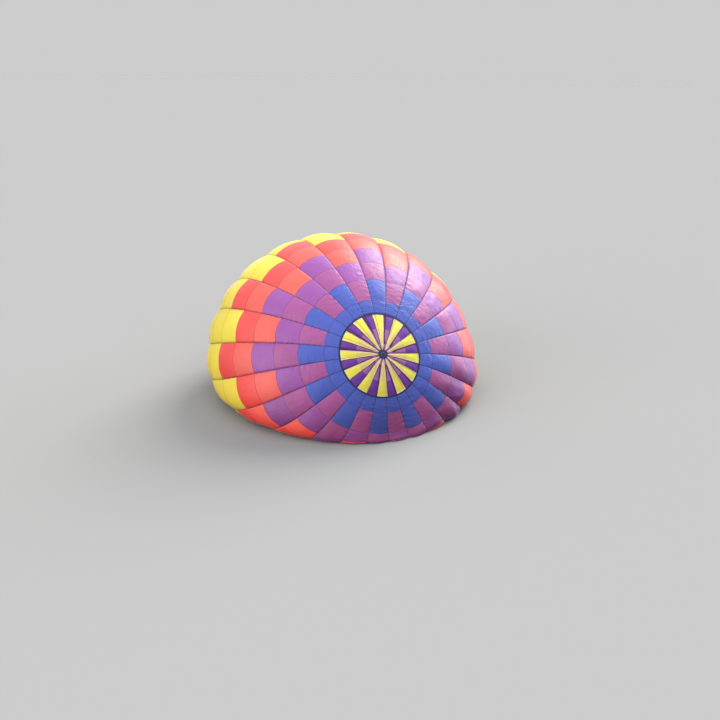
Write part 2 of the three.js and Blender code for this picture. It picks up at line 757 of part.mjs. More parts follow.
for (const [name, up] of [['lower', -1], ['upper', 1]]) {
  addPiece(`burner_can_${name}`, canGeometry(up), steel);
  addPiece(`burner_coil_${name}`, coilGeometry(up), steel);
}

export default balloon;
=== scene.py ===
"""Looks of a hot air balloon that lies on its side, part filled with cold air.

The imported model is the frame. The cloth with its tapes and seams, the parachute valve,
the rigging, the burner and the basket are made round it, in metres, +Z up, with the
crown at +X and the basket at -X.
"""

from __future__ import annotations

import json
import logging
import math
from contextlib import contextmanager
from dataclasses import dataclass, field
from enum import Enum
from typing import Callable, Iterator, Sequence

import bmesh
import bpy
import numpy as np
from mathutils import Matrix, Quaternion, Vector

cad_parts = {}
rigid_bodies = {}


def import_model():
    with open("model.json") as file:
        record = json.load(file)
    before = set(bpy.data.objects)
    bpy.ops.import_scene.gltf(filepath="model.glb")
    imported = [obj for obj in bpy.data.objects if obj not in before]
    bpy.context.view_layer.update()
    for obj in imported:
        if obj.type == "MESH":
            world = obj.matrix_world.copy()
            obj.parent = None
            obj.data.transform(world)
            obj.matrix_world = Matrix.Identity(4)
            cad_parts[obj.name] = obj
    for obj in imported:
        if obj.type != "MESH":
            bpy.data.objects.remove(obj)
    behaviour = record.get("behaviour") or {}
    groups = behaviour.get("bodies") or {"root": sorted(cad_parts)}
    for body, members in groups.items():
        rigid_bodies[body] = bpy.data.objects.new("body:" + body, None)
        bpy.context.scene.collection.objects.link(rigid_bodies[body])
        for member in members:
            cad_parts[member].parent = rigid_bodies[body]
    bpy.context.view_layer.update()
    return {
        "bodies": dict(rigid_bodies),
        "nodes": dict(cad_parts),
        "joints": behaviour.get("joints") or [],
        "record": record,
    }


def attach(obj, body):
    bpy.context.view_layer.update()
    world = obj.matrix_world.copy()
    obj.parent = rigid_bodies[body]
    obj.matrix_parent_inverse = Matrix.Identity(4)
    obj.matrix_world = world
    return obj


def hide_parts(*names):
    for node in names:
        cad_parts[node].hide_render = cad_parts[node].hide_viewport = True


LOG = logging.getLogger("balloon")
TURN = 2 * math.pi
AHEAD = Vector((1, 0, 0))
UP = Vector((0, 0, 1))

Color = tuple[float, float, float]
Object = bpy.types.Object
Material = bpy.types.Material
Socket = bpy.types.NodeSocket
Coat = dict[str, object]


class Body(Enum):
    """The rigid bodies that pieces ride on."""

    BALLOON = "balloon"
    PARACHUTE = "parachute"
    GIMBAL = "gimbal"
    BURNER = "burner"


class Slot(Enum):
    """The record's material slots, one given with each seated piece."""

    YELLOW = "ripstop_yellow"
    CORAL = "ripstop_coral"
    BLUE = "ripstop_blue"
    WEBBING = "webbing"
    STEEL = "steel"
    BRASS = "brass"
    WICKER = "wicker"
    HIDE = "hide"
    PLYWOOD = "plywood"
    CYLINDER = "cylinder_paint"


# Numbers in arrays


def smoothstep(x: np.ndarray) -> np.ndarray:
    """Returns the smooth ramp from 0 to 1 of x."""
    x = np.clip(x, 0.0, 1.0)
    return x * x * (3 - 2 * x)


def bell(*offsets: np.ndarray) -> np.ndarray:
    """Returns the bell curve of the offsets, 1 where all are 0."""
    return np.exp(-sum(offset**2 for offset in offsets))


def unit(vectors: np.ndarray) -> np.ndarray:
    """Returns the vectors at length 1."""
    return vectors / np.maximum(np.linalg.norm(vectors, axis=-1, keepdims=True), 1e-9)


def mm(*points: Sequence[float]) -> list[tuple[float, ...]]:
    """Returns points given in millimetres, in metres."""
    return [tuple(value / 1000 for value in point) for point in points]


class GradientNoise:
    """Smooth noise in space, the same for the same seed."""

    def __init__(self, seed: int) -> None:
        """Draws the lattice's gradients from the seed."""
        rng = np.random.default_rng(seed)
        self.order = np.tile(rng.permutation(256), 2)
        self.slopes = unit(rng.normal(size=(256, 3)))

    def __call__(self, points: np.ndarray, size: float) -> np.ndarray:
        """Reads the noise.

        Args:
            points: Points in metres, the last axis x, y, z.
            size: Size of the noise's lumps, in metres.

        Returns:
            Values from about -1 to 1, one for each point.
        """
        scaled = points / size
        cell = np.floor(scaled).astype(int)
        local = scaled - cell
        fade = local**3 * (local * (local * 6 - 15) + 10)
        total = np.zeros(points.shape[:-1])
        for corner in np.ndindex(2, 2, 2):
            x, y, z = (cell[..., axis] + corner[axis] & 255 for axis in range(3))
            slope = self.slopes[self.order[self.order[self.order[x] + y] + z]]
            weight = np.prod(np.where(corner, fade, 1 - fade), axis=-1)
            total += weight * np.sum(slope * (local - np.array(corner)), axis=-1)
        return total * 1.6


# Meshes


def mesh_object(
    name: str, points: Sequence[Sequence[float]], faces: Sequence[Sequence[int]],
    materials: Sequence[Material],
) -> Object:
    """Makes a smooth object in the scene.

    Args:
        name: Name of the object and its mesh.
        points: Points in metres.
        faces: Corner numbers of each face.
        materials: The object's materials.

    Returns:
        The object.
    """
    mesh = bpy.data.meshes.new(name)
    mesh.from_pydata([tuple(p) for p in np.asarray(points, float)], [], [tuple(map(int, f)) for f in faces])
    for material in materials:
        mesh.materials.append(material)
    mesh.shade_smooth()
    mesh.update()
    return placed(name, mesh)


def placed(name: str, data: bpy.types.ID) -> Object:
    """Puts a mesh, lamp or camera in the scene as an object."""
    obj = bpy.data.objects.new(name, data)
    bpy.context.scene.collection.objects.link(obj)
    return obj


@contextmanager
def opened(obj: Object) -> Iterator[bmesh.types.BMesh]:
    """Opens an object's mesh for changes and writes them back."""
    mesh = bmesh.new()
    mesh.from_mesh(obj.data)
    yield mesh
    mesh.to_mesh(obj.data)
    mesh.free()


def settle(obj: Object) -> Object:
    """Replaces the object's mesh by what its modifiers make of it, and removes them.

    Args:
        obj: An object with modifiers.

    Returns:
        The same object.
    """
    depsgraph = bpy.context.evaluated_depsgraph_get()
    made = bpy.data.meshes.new_from_object(obj.evaluated_get(depsgraph), depsgraph=depsgraph)
    made.name = obj.name
    obj.modifiers.clear()
    before = obj.data
    obj.data = made
    bpy.data.meshes.remove(before)
    return obj


def thicken(obj: Object, thickness: float) -> Object:
    """Gives a sheet its thickness in metres, inwards, and returns it."""
    solid = obj.modifiers.new("Thickness", "SOLIDIFY")
    solid.thickness = thickness
    solid.offset = -1
    solid.use_even_offset = False
    return settle(obj)


def weld(obj: Object) -> None:
    """Merges points that lie together, as at the middle of a disc."""
    with opened(obj) as mesh:
        bmesh.ops.remove_doubles(mesh, verts=mesh.verts, dist=0.002)


def sharpen(obj: Object, degrees: float = 34.0) -> Object:
    """Turns the faces outwards and keeps the edges sharp that bend more than an angle.

    Args:
        obj: A closed mesh.
        degrees: The angle.

    Returns:
        The same object.
    """
    with opened(obj) as mesh:
        bmesh.ops.recalc_face_normals(mesh, faces=mesh.faces)
        for face in mesh.faces:
            face.smooth = True
        for edge in mesh.edges:
            edge.smooth = edge.calc_face_angle(0.0) < math.radians(degrees)
    return obj


def turned(
    name: str, profile: Sequence[tuple[float, float]], start: Vector, axis: Vector, finish: Finish,
    sides: int = 32, degrees: float = 34.0,
) -> Object:
    """Turns a profile round an axis into a closed shape with crisp steps.

    Args:
        name: Name of the object.
        profile: Points as (distance from the axis, distance along it). One that starts
            and ends off the axis closes on itself.
        start: Where the axis starts.
        axis: Its direction.
        finish: Its finish.
        sides: Number of steps round.
        degrees: Edges that bend more than this stay sharp.

    Returns:
        The object.
    """
    turn = UP.rotation_difference(axis.normalized())
    points: list[Vector] = []
    rows: list[list[int]] = []
    for radius, along in profile:
        count = 1 if radius < 1e-6 else sides
        rows.append([len(points) + (k % count) for k in range(sides)])
        for k in range(count):
            angle = TURN * k / sides
            points.append(start + turn @ Vector((radius * math.cos(angle), radius * math.sin(angle), along)))
    if profile[0][0] > 1e-6 and profile[-1][0] > 1e-6:
        rows.append(rows[0])
    faces = []
    for low, high in zip(rows, rows[1:]):
        for k in range(sides):
            beside = (k + 1) % sides
            face = list(dict.fromkeys([low[k], low[beside], high[beside], high[k]]))
            if len(face) > 2:
                faces.append(face)
    return sharpen(mesh_object(name, points, faces, [finish.material()]), degrees)


def loft(name: str, rings: np.ndarray, finish: Finish, closed: bool = False) -> Object:
    """Makes a closed skin over rings of points.

    Args:
        name: Name of the object.
        rings: Rings by points, in metres.
        finish: Its finish.
        closed: True where the last ring meets the first, otherwise the ends are capped.

    Returns:
        The object.
    """
    count, sides = rings.shape[:2]
    faces = []
    for k in range(count if closed else count - 1):
        low, high = k * sides, (k + 1) % count * sides
        for j in range(sides):
            beside = (j + 1) % sides
            faces.append((low + j, low + beside, high + beside, high + j))
    if not closed:
        faces += [tuple(range(sides)), tuple(range((count - 1) * sides, count * sides))]
    return sharpen(mesh_object(name, rings.reshape(-1, 3), faces, [finish.material()]))


def block(name: str, centre: Vector, size: Sequence[float], bevel: float, finish: Finish) -> Object:
    """Makes a block with rounded edges.

    Args:
        name: Name of the object.
        centre: Its middle.
        size: Its sides along X, Y and Z.
        bevel: Width of the rounding.
        finish: Its finish.

    Returns:
        The object.
    """
    obj = mesh_object(name, [], [], [finish.material()])
    with opened(obj) as mesh:
        place = Matrix.Translation(centre) @ Matrix.Diagonal((*size, 1.0))
        bmesh.ops.create_cube(mesh, size=1.0, matrix=place)
        bmesh.ops.bevel(mesh, geom=mesh.edges[:], offset=bevel, segments=3, profile=0.5, affect="EDGES")
    return sharpen(obj, 25.0)


def join(name: str, pieces: Sequence[Object]) -> Object:
    """Joins pieces into the first.

    Args:
        name: Name of the result.
        pieces: The pieces, each a plain mesh.

    Returns:
        The result.
    """
    first = pieces[0]
    if len(pieces) > 1:
        chosen = {"active_object": first, "object": first, "selected_editable_objects": list(pieces)}
        with bpy.context.temp_override(**chosen):
            bpy.ops.object.join()
    first.name = first.data.name = name
    return first


def cut(obj: Object, tools: Sequence[Object]) -> Object:
    """Cuts closed shapes out of a piece and removes them.

    Args:
        obj: The piece.
        tools: The shapes.

    Returns:
        The piece.
    """
    tool = join("cut", tools)
    modifier = obj.modifiers.new("Cut", "BOOLEAN")
    modifier.operation = "DIFFERENCE"
    modifier.solver = "MANIFOLD"
    modifier.object = tool
    settle(obj)
    bpy.data.objects.remove(tool)
    return sharpen(obj)


@dataclass
class Sheet:
    """A grid of points on cloth.

    Attributes:
        points: Rows by columns of points, in metres.
        flat: Their places on the cut cloth, in metres across and along.
        closed: True where the last column meets the first.
        paint: Material number of each face, or None.
        hem: Closeness to a tape at each point, from 0 to 1, or None.
    """

    points: np.ndarray
    flat: np.ndarray
    closed: bool = False
    paint: np.ndarray | None = None
    hem: np.ndarray | None = None

    def faces(self) -> np.ndarray:
        """Returns the corners of each face, so that it faces out."""
        rows, columns = self.points.shape[:2]
        i, j = np.meshgrid(np.arange(rows - 1), np.arange(columns - (not self.closed)), indexing="ij")
        beside = (j + 1) % columns
        corners = [i * columns + j, (i + 1) * columns + j, (i + 1) * columns + beside, i * columns + beside]
        return np.stack(corners, -1).reshape(-1, 4)

    def build(self, name: str, cloths: Sequence[Finish]) -> Object:
        """Makes the sheet's object.

        Args:
            name: Name of the object.
            cloths: A cloth for each number in paint.

        Returns:
            The object, with a UV map called Cloth in metres.
        """
        faces = self.faces()
        obj = mesh_object(name, self.points.reshape(-1, 3), faces, [cloth.material() for cloth in cloths])
        layer = obj.data.uv_layers.new(name="Cloth")
        flat = self.flat.reshape(-1, 2)[faces.reshape(-1)]
        layer.data.foreach_set("uv", flat.astype(np.float32).ravel())
        if self.paint is not None:
            obj.data.polygons.foreach_set("material_index", self.paint.astype(np.int32).ravel())
        if self.hem is not None:
            attribute = obj.data.attributes.new("hem", "FLOAT", "POINT")
            attribute.data.foreach_set("value", self.hem.astype(np.float32).ravel())
        return obj


def seat(obj: Object, slot: Slot, *nodes: str, body: Body = Body.BALLOON) -> None:
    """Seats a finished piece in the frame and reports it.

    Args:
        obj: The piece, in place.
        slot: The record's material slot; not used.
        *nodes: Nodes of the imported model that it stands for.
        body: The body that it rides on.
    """
    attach(obj, body.value)
    if nodes:
        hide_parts(*nodes)
    LOG.info("%s: %d faces", obj.name, len(obj.data.polygons))


# Shader and geometry node trees


@dataclass
class Nodes:
    """Adds nodes to a tree and joins them."""

    tree: bpy.types.NodeTree

    def add(self, kind: str, inputs: dict | None = None, **settings: object) -> bpy.types.Node:
        """Adds a node.

        Args:
            kind: Blender's name of the node type.
            inputs: Socket name or number to a value, or to the socket that feeds it.
            **settings: Properties of the node.

        Returns:
            The node.
        """
        node = self.tree.nodes.new(kind)
        for name, value in settings.items():
            setattr(node, name, value)
        for name, value in (inputs or {}).items():
            self.feed(node.inputs[name], value)
        return node

    def out(self, kind: str, inputs: dict | None = None, pick: int | str = 0, **settings: object) -> Socket:
        """Adds a node as add does, and returns the output that pick names."""
        return self.add(kind, inputs, **settings).outputs[pick]

    def feed(self, socket: Socket, value: object) -> None:
        """Sets a socket, or links it where the value is a socket."""
        if isinstance(value, Socket):
            self.tree.links.new(value, socket)
        else:
            socket.default_value = value

    def math(self, operation: str, *values: object) -> Socket:
        """Adds a Math node on the values, and returns its result."""
        return self.out("ShaderNodeMath", dict(enumerate(values)), operation=operation)

    def attribute(self, name: str, pick: str = "Fac") -> Socket:
        """Reads an attribute of the mesh."""
        return self.out("ShaderNodeAttribute", pick=pick, attribute_name=name)

    def axes(self, vector: Socket) -> bpy.types.NodeOutputs:
        """Splits a vector into its X, Y and Z."""
        return self.add("ShaderNodeSeparateXYZ", {0: vector}).outputs

    def stretched(self, place: Socket, scale: Color) -> Socket:
        """Scales coordinates along X, Y and Z."""
        return self.out("ShaderNodeMapping", {"Vector": place, "Scale": scale})

    def ramp(self, value: Socket, low: float, high: float, start: float = 0.0, end: float = 1.0) -> Socket:
        """Maps a value from low..high to start..end, held at both ends."""
        inputs = {"Value": value, "From Min": low, "From Max": high, "To Min": start, "To Max": end}
        return self.out("ShaderNodeMapRange", inputs, "Result")

    def noise(self, vector: Socket, scale: float, detail: float = 2.0, distortion: float = 0.0) -> Socket:
        """Adds a Noise Texture.

        Args:
            vector: Where it is read.
            scale: Lumps in a metre.
            detail: Number of finer layers.
            distortion: How far it swirls.

        Returns:
            The value's socket.
        """
        inputs = {"Vector": vector, "Scale": scale, "Detail": detail, "Distortion": distortion}
        return self.out("ShaderNodeTexNoise", inputs, "Fac")

    def mix(self, share: object, first: object, second: object, blend: str = "MIX") -> Socket:
        """Mixes two colours.

        Args:
            share: 0 for the first, 1 for the second.
            first: Colour or socket.
            second: Colour or socket.
            blend: Blender's name of the way they mix.

        Returns:
            The colour's socket.
        """
        node = self.add("ShaderNodeMix", {0: share}, data_type="RGBA", blend_type=blend)
        for number, color in ((6, first), (7, second)):
            self.feed(node.inputs[number], (*color, 1.0) if isinstance(color, tuple) else color)
        return node.outputs[2]

    def bump(self, height: Socket, distance: float, strength: float, under: Socket | None = None) -> Socket:
        """Adds a Bump node.

        Args:
            height: Height from 0 to 1.
            distance: Height of 1, in metres.
            strength: Share of the effect.
            under: Another bump that it lies on.

        Returns:
            The normal's socket.
        """
        inputs = {"Height": height, "Distance": distance, "Strength": strength}
        if under is not None:
            inputs["Normal"] = under
        return self.out("ShaderNodeBump", inputs, "Normal")


# Finishes


@dataclass(frozen=True)
class Finish:
    """A surface finish. Subclasses add its pattern.

    Attributes:
        name: Name of the material.
        color: Main colour, linear.
        roughness: Shader roughness.
        metallic: 1 for bare metal.
        glow: Share of the light that comes through.
    """

    name: str
    color: Color
    roughness: float = 0.5
    metallic: float = 0.0
    glow: float = 0.0

    def material(self) -> Material:
        """Returns the material, made on the first call."""
        known = bpy.data.materials.get(self.name)
        if known:
            return known
        material = bpy.data.materials.new(self.name)
        material.use_nodes = True
        material.diffuse_color = (*self.color, 1.0)
        nodes = Nodes(material.node_tree)
        shader = nodes.tree.nodes["Principled BSDF"]
        shader.inputs["Metallic"].default_value = self.metallic
        shader.inputs["Roughness"].default_value = self.roughness
        coat = self.coat(nodes, nodes.out("ShaderNodeTexCoord", pick="Object"))
        for name, value in coat.items():
            nodes.feed(shader.inputs[name], value)
        if self.glow:
            behind = {"Color": coat["Base Color"], "Normal": coat["Normal"]}
            through = nodes.out("ShaderNodeBsdfTranslucent", behind)
            both = nodes.out("ShaderNodeMixShader", {0: self.glow, 1: shader.outputs[0], 2: through})
            nodes.feed(nodes.tree.nodes["Material Output"].inputs["Surface"], both)
        return material

    def coat(self, nodes: Nodes, place: Socket) -> Coat:
        """Adds the pattern.

        Args:
            nodes: The material's nodes.
            place: Object coordinates, in metres.

        Returns:
            What goes into the shader's inputs, by name.
        """
        raise NotImplementedError

    def times(self, share: float, more: float = 0.0) -> Color:
        """Returns the main colour at a share of its brightness, and a little more."""
        red, green, blue = (min(1.0, channel * share + more) for channel in self.color)
        return red, green, blue

    def uneven(self, nodes: Nodes, value: Socket, less: float, more: float) -> Socket:
        """Returns a roughness that goes with a pattern, from less to more than the main one."""
        return nodes.ramp(value, 0.3, 0.7, self.roughness - less, self.roughness + more)


@dataclass(frozen=True)
class Ripstop(Finish):
    """Coated balloon cloth: a fine grid of thicker threads, soft creases and a little glow.

    Attributes:
        grid: Spacing of the thicker threads, in metres.
        ground_shade: Share of each colour that is left at the ground, where painted shade darkens the low
            cloth.
        ground_shade_rise: Heights where the painted shade is full and where it ends, in metres.
    """

    roughness: float = 0.45
    glow: float = 0.3
    grid: float = 0.006
    ground_shade: Color = (0.72, 0.55, 0.56)
    ground_shade_rise: tuple[float, float] = (-3.2, -0.4)

    def coat(self, nodes: Nodes, place: Socket) -> Coat:
        """Adds threads, creases, puckers beside the tapes, uneven colour, painted shade beside the tapes and
        painted shade near the ground.
        """
        flat = nodes.axes(nodes.out("ShaderNodeUVMap", uv_map="Cloth"))
        thread = nodes.math("MINIMUM", *(nodes.math("PINGPONG", flat[axis], self.grid / 2) for axis in "XY"))
        ridge = nodes.ramp(thread, 0.0, self.grid / 8, 1.0, 0.0)
        patch = nodes.noise(place, 0.35, 3.0)
        crumple = nodes.noise(place, 2.6, 4.0, 0.6)
        crease = nodes.math("ABSOLUTE", nodes.math("SUBTRACT", nodes.noise(place, 1.3, 2.0, 1.2), 0.5))
        hem = nodes.attribute("hem")
        sway = nodes.math("MULTIPLY", nodes.noise(place, 1.2, 1.0), 18.0)
        ripple = nodes.math("SINE", nodes.math("MULTIPLY_ADD", flat["Y"], 40.0, sway))
        # Darker tone for the thicker threads, and for the painted shade beside the tapes.
        thread_tone_and_shade = self.times(0.62)
        tone = nodes.mix(nodes.ramp(patch, 0.3, 0.7), self.times(0.9), self.times(1.06, 0.008))
        # Painted shade beside the tapes and seams, in the valleys between the puffed gores.
        tone = nodes.mix(nodes.math("MULTIPLY", nodes.math("POWER", hem, 6.0), 0.75), tone, thread_tone_and_shade)
        tone = nodes.mix(nodes.math("MULTIPLY", ridge, 0.06), tone, thread_tone_and_shade)
        # Painted shade near the ground: the colour is multiplied darker and redder towards the ground.
        low = nodes.math("MULTIPLY_ADD", patch, 1.2, nodes.axes(place)["Z"])
        tone = nodes.mix(nodes.ramp(low, *self.ground_shade_rise, 1.0, 0.0), tone, self.ground_shade, "MULTIPLY")
        relief = nodes.bump(crumple, 0.03, 0.5)
        relief = nodes.bump(nodes.ramp(crease, 0.0, 0.08), 0.012, 0.5, relief)
        relief = nodes.bump(nodes.math("MULTIPLY", ripple, hem), 0.012, 0.6, relief)
        return {
            "Base Color": tone,
            "Roughness": self.uneven(nodes, crumple, 0.07, 0.07),
            "Normal": nodes.bump(ridge, 0.0003, 0.2, relief),
            "Specular IOR Level": 0.5,
            "Sheen Weight": 0.4,
            "Sheen Roughness": 0.35,
            "Sheen Tint": (0.88, 0.92, 1.0, 1.0),
        }


@dataclass(frozen=True)
class Webbing(Finish):
    """Woven tape, with a herringbone weave along its length.

    Attributes:
        rib: Spacing of the woven ribs, in metres.
        tinted: True where each line brings its own colour.
    """

    roughness: float = 0.75
    rib: float = 0.003
    tinted: bool = False

    def coat(self, nodes: Nodes, place: Socket) -> Coat:
        """Adds the herringbone, loose fibres and a little fading."""
        aside = nodes.math("ABSOLUTE", nodes.axes(nodes.attribute("section", "Vector"))["Y"])
        slant = nodes.math("ADD", nodes.attribute("along"), nodes.math("PINGPONG", aside, 3 * self.rib))
        weave = nodes.ramp(nodes.math("PINGPONG", slant, self.rib / 2), 0.0, self.rib / 2)
        bright: object = self.color
        dark: object = self.times(0.72)
        if self.tinted:
            bright = nodes.attribute("tint", "Color")
            dark = nodes.mix(0.28, bright, (0.0, 0.0, 0.0))
        tone = nodes.mix(nodes.ramp(nodes.noise(place, 3.0, 3.0), 0.35, 0.65), dark, bright)
        relief = nodes.bump(nodes.noise(place, 900.0), 0.0003, 0.3)
        return {
            "Base Color": nodes.mix(nodes.math("MULTIPLY", weave, 0.25), tone, dark),
            "Normal": nodes.bump(weave, 0.0006, 0.6, relief),
        }


@dataclass(frozen=True)
class Metal(Finish):
    """Drawn or machined metal with fine scratches and dull patches."""

    metallic: float = 1.0
    roughness: float = 0.32

    def coat(self, nodes: Nodes, place: Socket) -> Coat:
        """Adds scratches and patches of stain."""
        scratch = nodes.noise(nodes.stretched(place, (1.0, 14.0, 14.0)), 60.0, 3.0)
        stain = nodes.ramp(nodes.noise(place, 9.0, 4.0, 0.4), 0.35, 0.75, 0.0, 0.8)
        return {
            "Base Color": nodes.mix(stain, self.color, self.times(0.66)),
            "Roughness": self.uneven(nodes, scratch, 0.08, 0.14),
            "Normal": nodes.bump(scratch, 0.0004, 0.25),
        }


@dataclass(frozen=True)
class Heated(Metal):
    """Steel that the flame has coloured, more towards the flame's end.

    Attributes:
        cold: Place on X where the colour starts.
        hot: Place on X where it is strongest.
    """

    roughness: float = 0.36
    cold: float = -11.86
    hot: float = -11.5

    STRAW = (0.62, 0.46, 0.22)
    BROWN = (0.3, 0.13, 0.07)
    BLUE = (0.1, 0.13, 0.26)
    SOOT = (0.1, 0.085, 0.08)

    def coat(self, nodes: Nodes, place: Socket) -> Coat:
        """Adds bands of straw, brown and blue over the scratched metal."""
        coat = super().coat(nodes, place)
        heat = nodes.ramp(nodes.axes(place)["X"], self.cold, self.hot, 0.0, 0.85)
        heat = nodes.math("MULTIPLY_ADD", nodes.noise(place, 7.0, 3.0), 0.22, heat)
        for low, high, share, color in (
            (0.2, 0.42, 0.75, self.STRAW), (0.45, 0.62, 0.8, self.BROWN),
            (0.64, 0.78, 0.75, self.BLUE), (0.84, 1.0, 0.8, self.SOOT),
        ):
            coat["Base Color"] = nodes.mix(nodes.ramp(heat, low, high, 0.0, share), coat["Base Color"], color)
        return coat


@dataclass(frozen=True)
class Cable(Finish):
    """Stranded steel cable or laid cord.

    Attributes:
        strands: Number of strands.
        lay: Length in which a strand goes once round, in metres.
    """

    roughness: float = 0.35
    metallic: float = 1.0
    strands: int = 6
    lay: float = 0.035

    def coat(self, nodes: Nodes, place: Socket) -> Coat:
        """Adds the strands, which wind round the line, with painted shade between them."""
        ways = nodes.axes(nodes.attribute("section", "Vector"))
        angle = nodes.math("ARCTAN2", ways["Y"], ways["X"])
        turn = nodes.math("MULTIPLY_ADD", nodes.attribute("along"), TURN / self.lay, angle)
        strand = nodes.math("ABSOLUTE", nodes.math("SINE", nodes.math("MULTIPLY", turn, self.strands / 2)))
        dark = self.times(0.3)
        tone = nodes.mix(nodes.ramp(nodes.noise(place, 14.0, 4.0), 0.35, 0.8, 0.0, 0.6), self.color, dark)
        return {
            # Painted shade in the grooves between the strands.
            "Base Color": nodes.mix(nodes.ramp(strand, 0.0, 0.4, 0.8, 0.0), tone, dark),
            "Normal": nodes.bump(strand, 0.0008, 0.8),
        }


@dataclass(frozen=True)
class Cane(Finish):
    """Willow and cane, each stem a little different in colour."""

    roughness: float = 0.6

    def coat(self, nodes: Nodes, place: Socket) -> Coat:
        """Adds stem-to-stem colour, streaks along each stem, dark joints and skinned patches."""
        stem = nodes.noise(nodes.stretched(place, (72.0, 2.5, 2.5)), 1.0, 1.0)
        grain = nodes.noise(place, 260.0)
        spacing = nodes.math("MULTIPLY_ADD", stem, 1.7, nodes.attribute("along"))
        joint = nodes.math("PINGPONG", spacing, 0.16)
        dark = self.times(0.42)
        tone = nodes.mix(nodes.ramp(stem, 0.32, 0.68), dark, self.times(1.45, 0.02))
        tone = nodes.mix(nodes.ramp(grain, 0.3, 0.8, 0.0, 0.35), tone, dark)
        relief = nodes.bump(grain, 0.0006, 0.4)
        return {
            "Base Color": nodes.mix(nodes.ramp(joint, 0.0, 0.006, 0.55, 0.0), tone, dark),
            "Roughness": self.uneven(nodes, grain, 0.12, 0.1),
            "Normal": nodes.bump(nodes.ramp(joint, 0.0, 0.006, 1.0, 0.0), 0.0008, 0.6, relief),
        }


@dataclass(frozen=True)
class Hide(Finish):
    """Leather over padding, with a pebbled grain and rubbed patches."""

    roughness: float = 0.55

    def coat(self, nodes: Nodes, place: Socket) -> Coat:
        """Adds pebbles, creases and worn colour."""
        pebble = nodes.out("ShaderNodeTexVoronoi", {"Vector": place, "Scale": 420.0}, "Distance")
        crease = nodes.noise(place, 28.0, 5.0, 1.0)
        worn = nodes.ramp(nodes.noise(place, 7.0, 4.0), 0.45, 0.75, 0.0, 0.7)
        return {
            "Base Color": nodes.mix(worn, self.color, self.times(1.9, 0.02)),
            "Roughness": self.uneven(nodes, crease, 0.1, 0.15),
            "Normal": nodes.bump(pebble, 0.0008, 0.5, nodes.bump(crease, 0.004, 0.4)),
        }


@dataclass(frozen=True)
class Timber(Finish):
    """Varnished wood with grain along one axis.

    Attributes:
        grain: Stretch of the grain along X, Y and Z.
    """

    roughness: float = 0.4
    grain: tuple[float, float, float] = (30.0, 30.0, 2.0)

    def coat(self, nodes: Nodes, place: Socket) -> Coat:
        """Adds grain lines and scuffs."""
        line = nodes.noise(nodes.stretched(place, self.grain), 1.0, 6.0, 0.8)
        scuff = nodes.noise(place, 40.0, 3.0)
        return {
            "Base Color": nodes.mix(nodes.ramp(line, 0.35, 0.7), self.color, self.times(0.5)),
            "Roughness": nodes.ramp(scuff, 0.4, 0.7, self.roughness, self.roughness + 0.25),
            "Normal": nodes.bump(line, 0.001, 0.3),
        }


@dataclass(frozen=True)
class Paint(Finish):
    """Enamel with orange peel, scuffs and handling dirt."""

    roughness: float = 0.35

    def coat(self, nodes: Nodes, place: Socket) -> Coat:
        """Adds the paint's texture and dirt."""
        dirt = nodes.ramp(nodes.noise(place, 6.0, 5.0, 0.5), 0.5, 0.8, 0.0, 0.5)
        return {
            "Base Color": nodes.mix(dirt, self.color, self.times(0.45)),
            "Roughness": nodes.ramp(dirt, 0.0, 0.5, self.roughness, self.roughness + 0.3),
            "Normal": nodes.bump(nodes.noise(place, 260.0, 1.0), 0.0003, 0.2),
        }


class Cloths:
    """The envelope's cloths, by colour."""

    BLUE = Ripstop("ripstop blue", (0.075, 0.12, 0.54), glow=0.2)
    PLUM = Ripstop("ripstop plum", (0.47, 0.105, 0.35), glow=0.24)
    VIOLET = Ripstop("ripstop violet", (0.4, 0.1, 0.43), glow=0.24)
    # The warm cloths keep more of their colour in the painted shade near the ground.
    CORAL = Ripstop("ripstop coral", (1.0, 0.16, 0.12), ground_shade=(1.0, 0.6, 0.55))
    SCARLET = Ripstop("ripstop scarlet", (1.0, 0.105, 0.09), ground_shade=(1.0, 0.6, 0.5))
    YELLOW = Ripstop("ripstop yellow", (1.0, 0.82, 0.08), ground_shade=(1.0, 0.88, 0.8))
    NOMEX = Ripstop("nomex", (0.02, 0.022, 0.05), roughness=0.75, glow=0.05)
    WEDGE_YELLOW = Ripstop("valve yellow", (1.0, 0.86, 0.085), glow=0.16)
    WEDGE_PALE = Ripstop("valve pale yellow", (0.88, 0.72, 0.2), glow=0.16)
    WEDGE_PURPLE = Ripstop("valve purple", (0.17, 0.03, 0.36), glow=0.16)
    WEDGE_MAUVE = Ripstop("valve mauve", (0.4, 0.14, 0.42), glow=0.2)
    NAVY = Ripstop("navy cover", (0.008, 0.016, 0.11), glow=0.1)


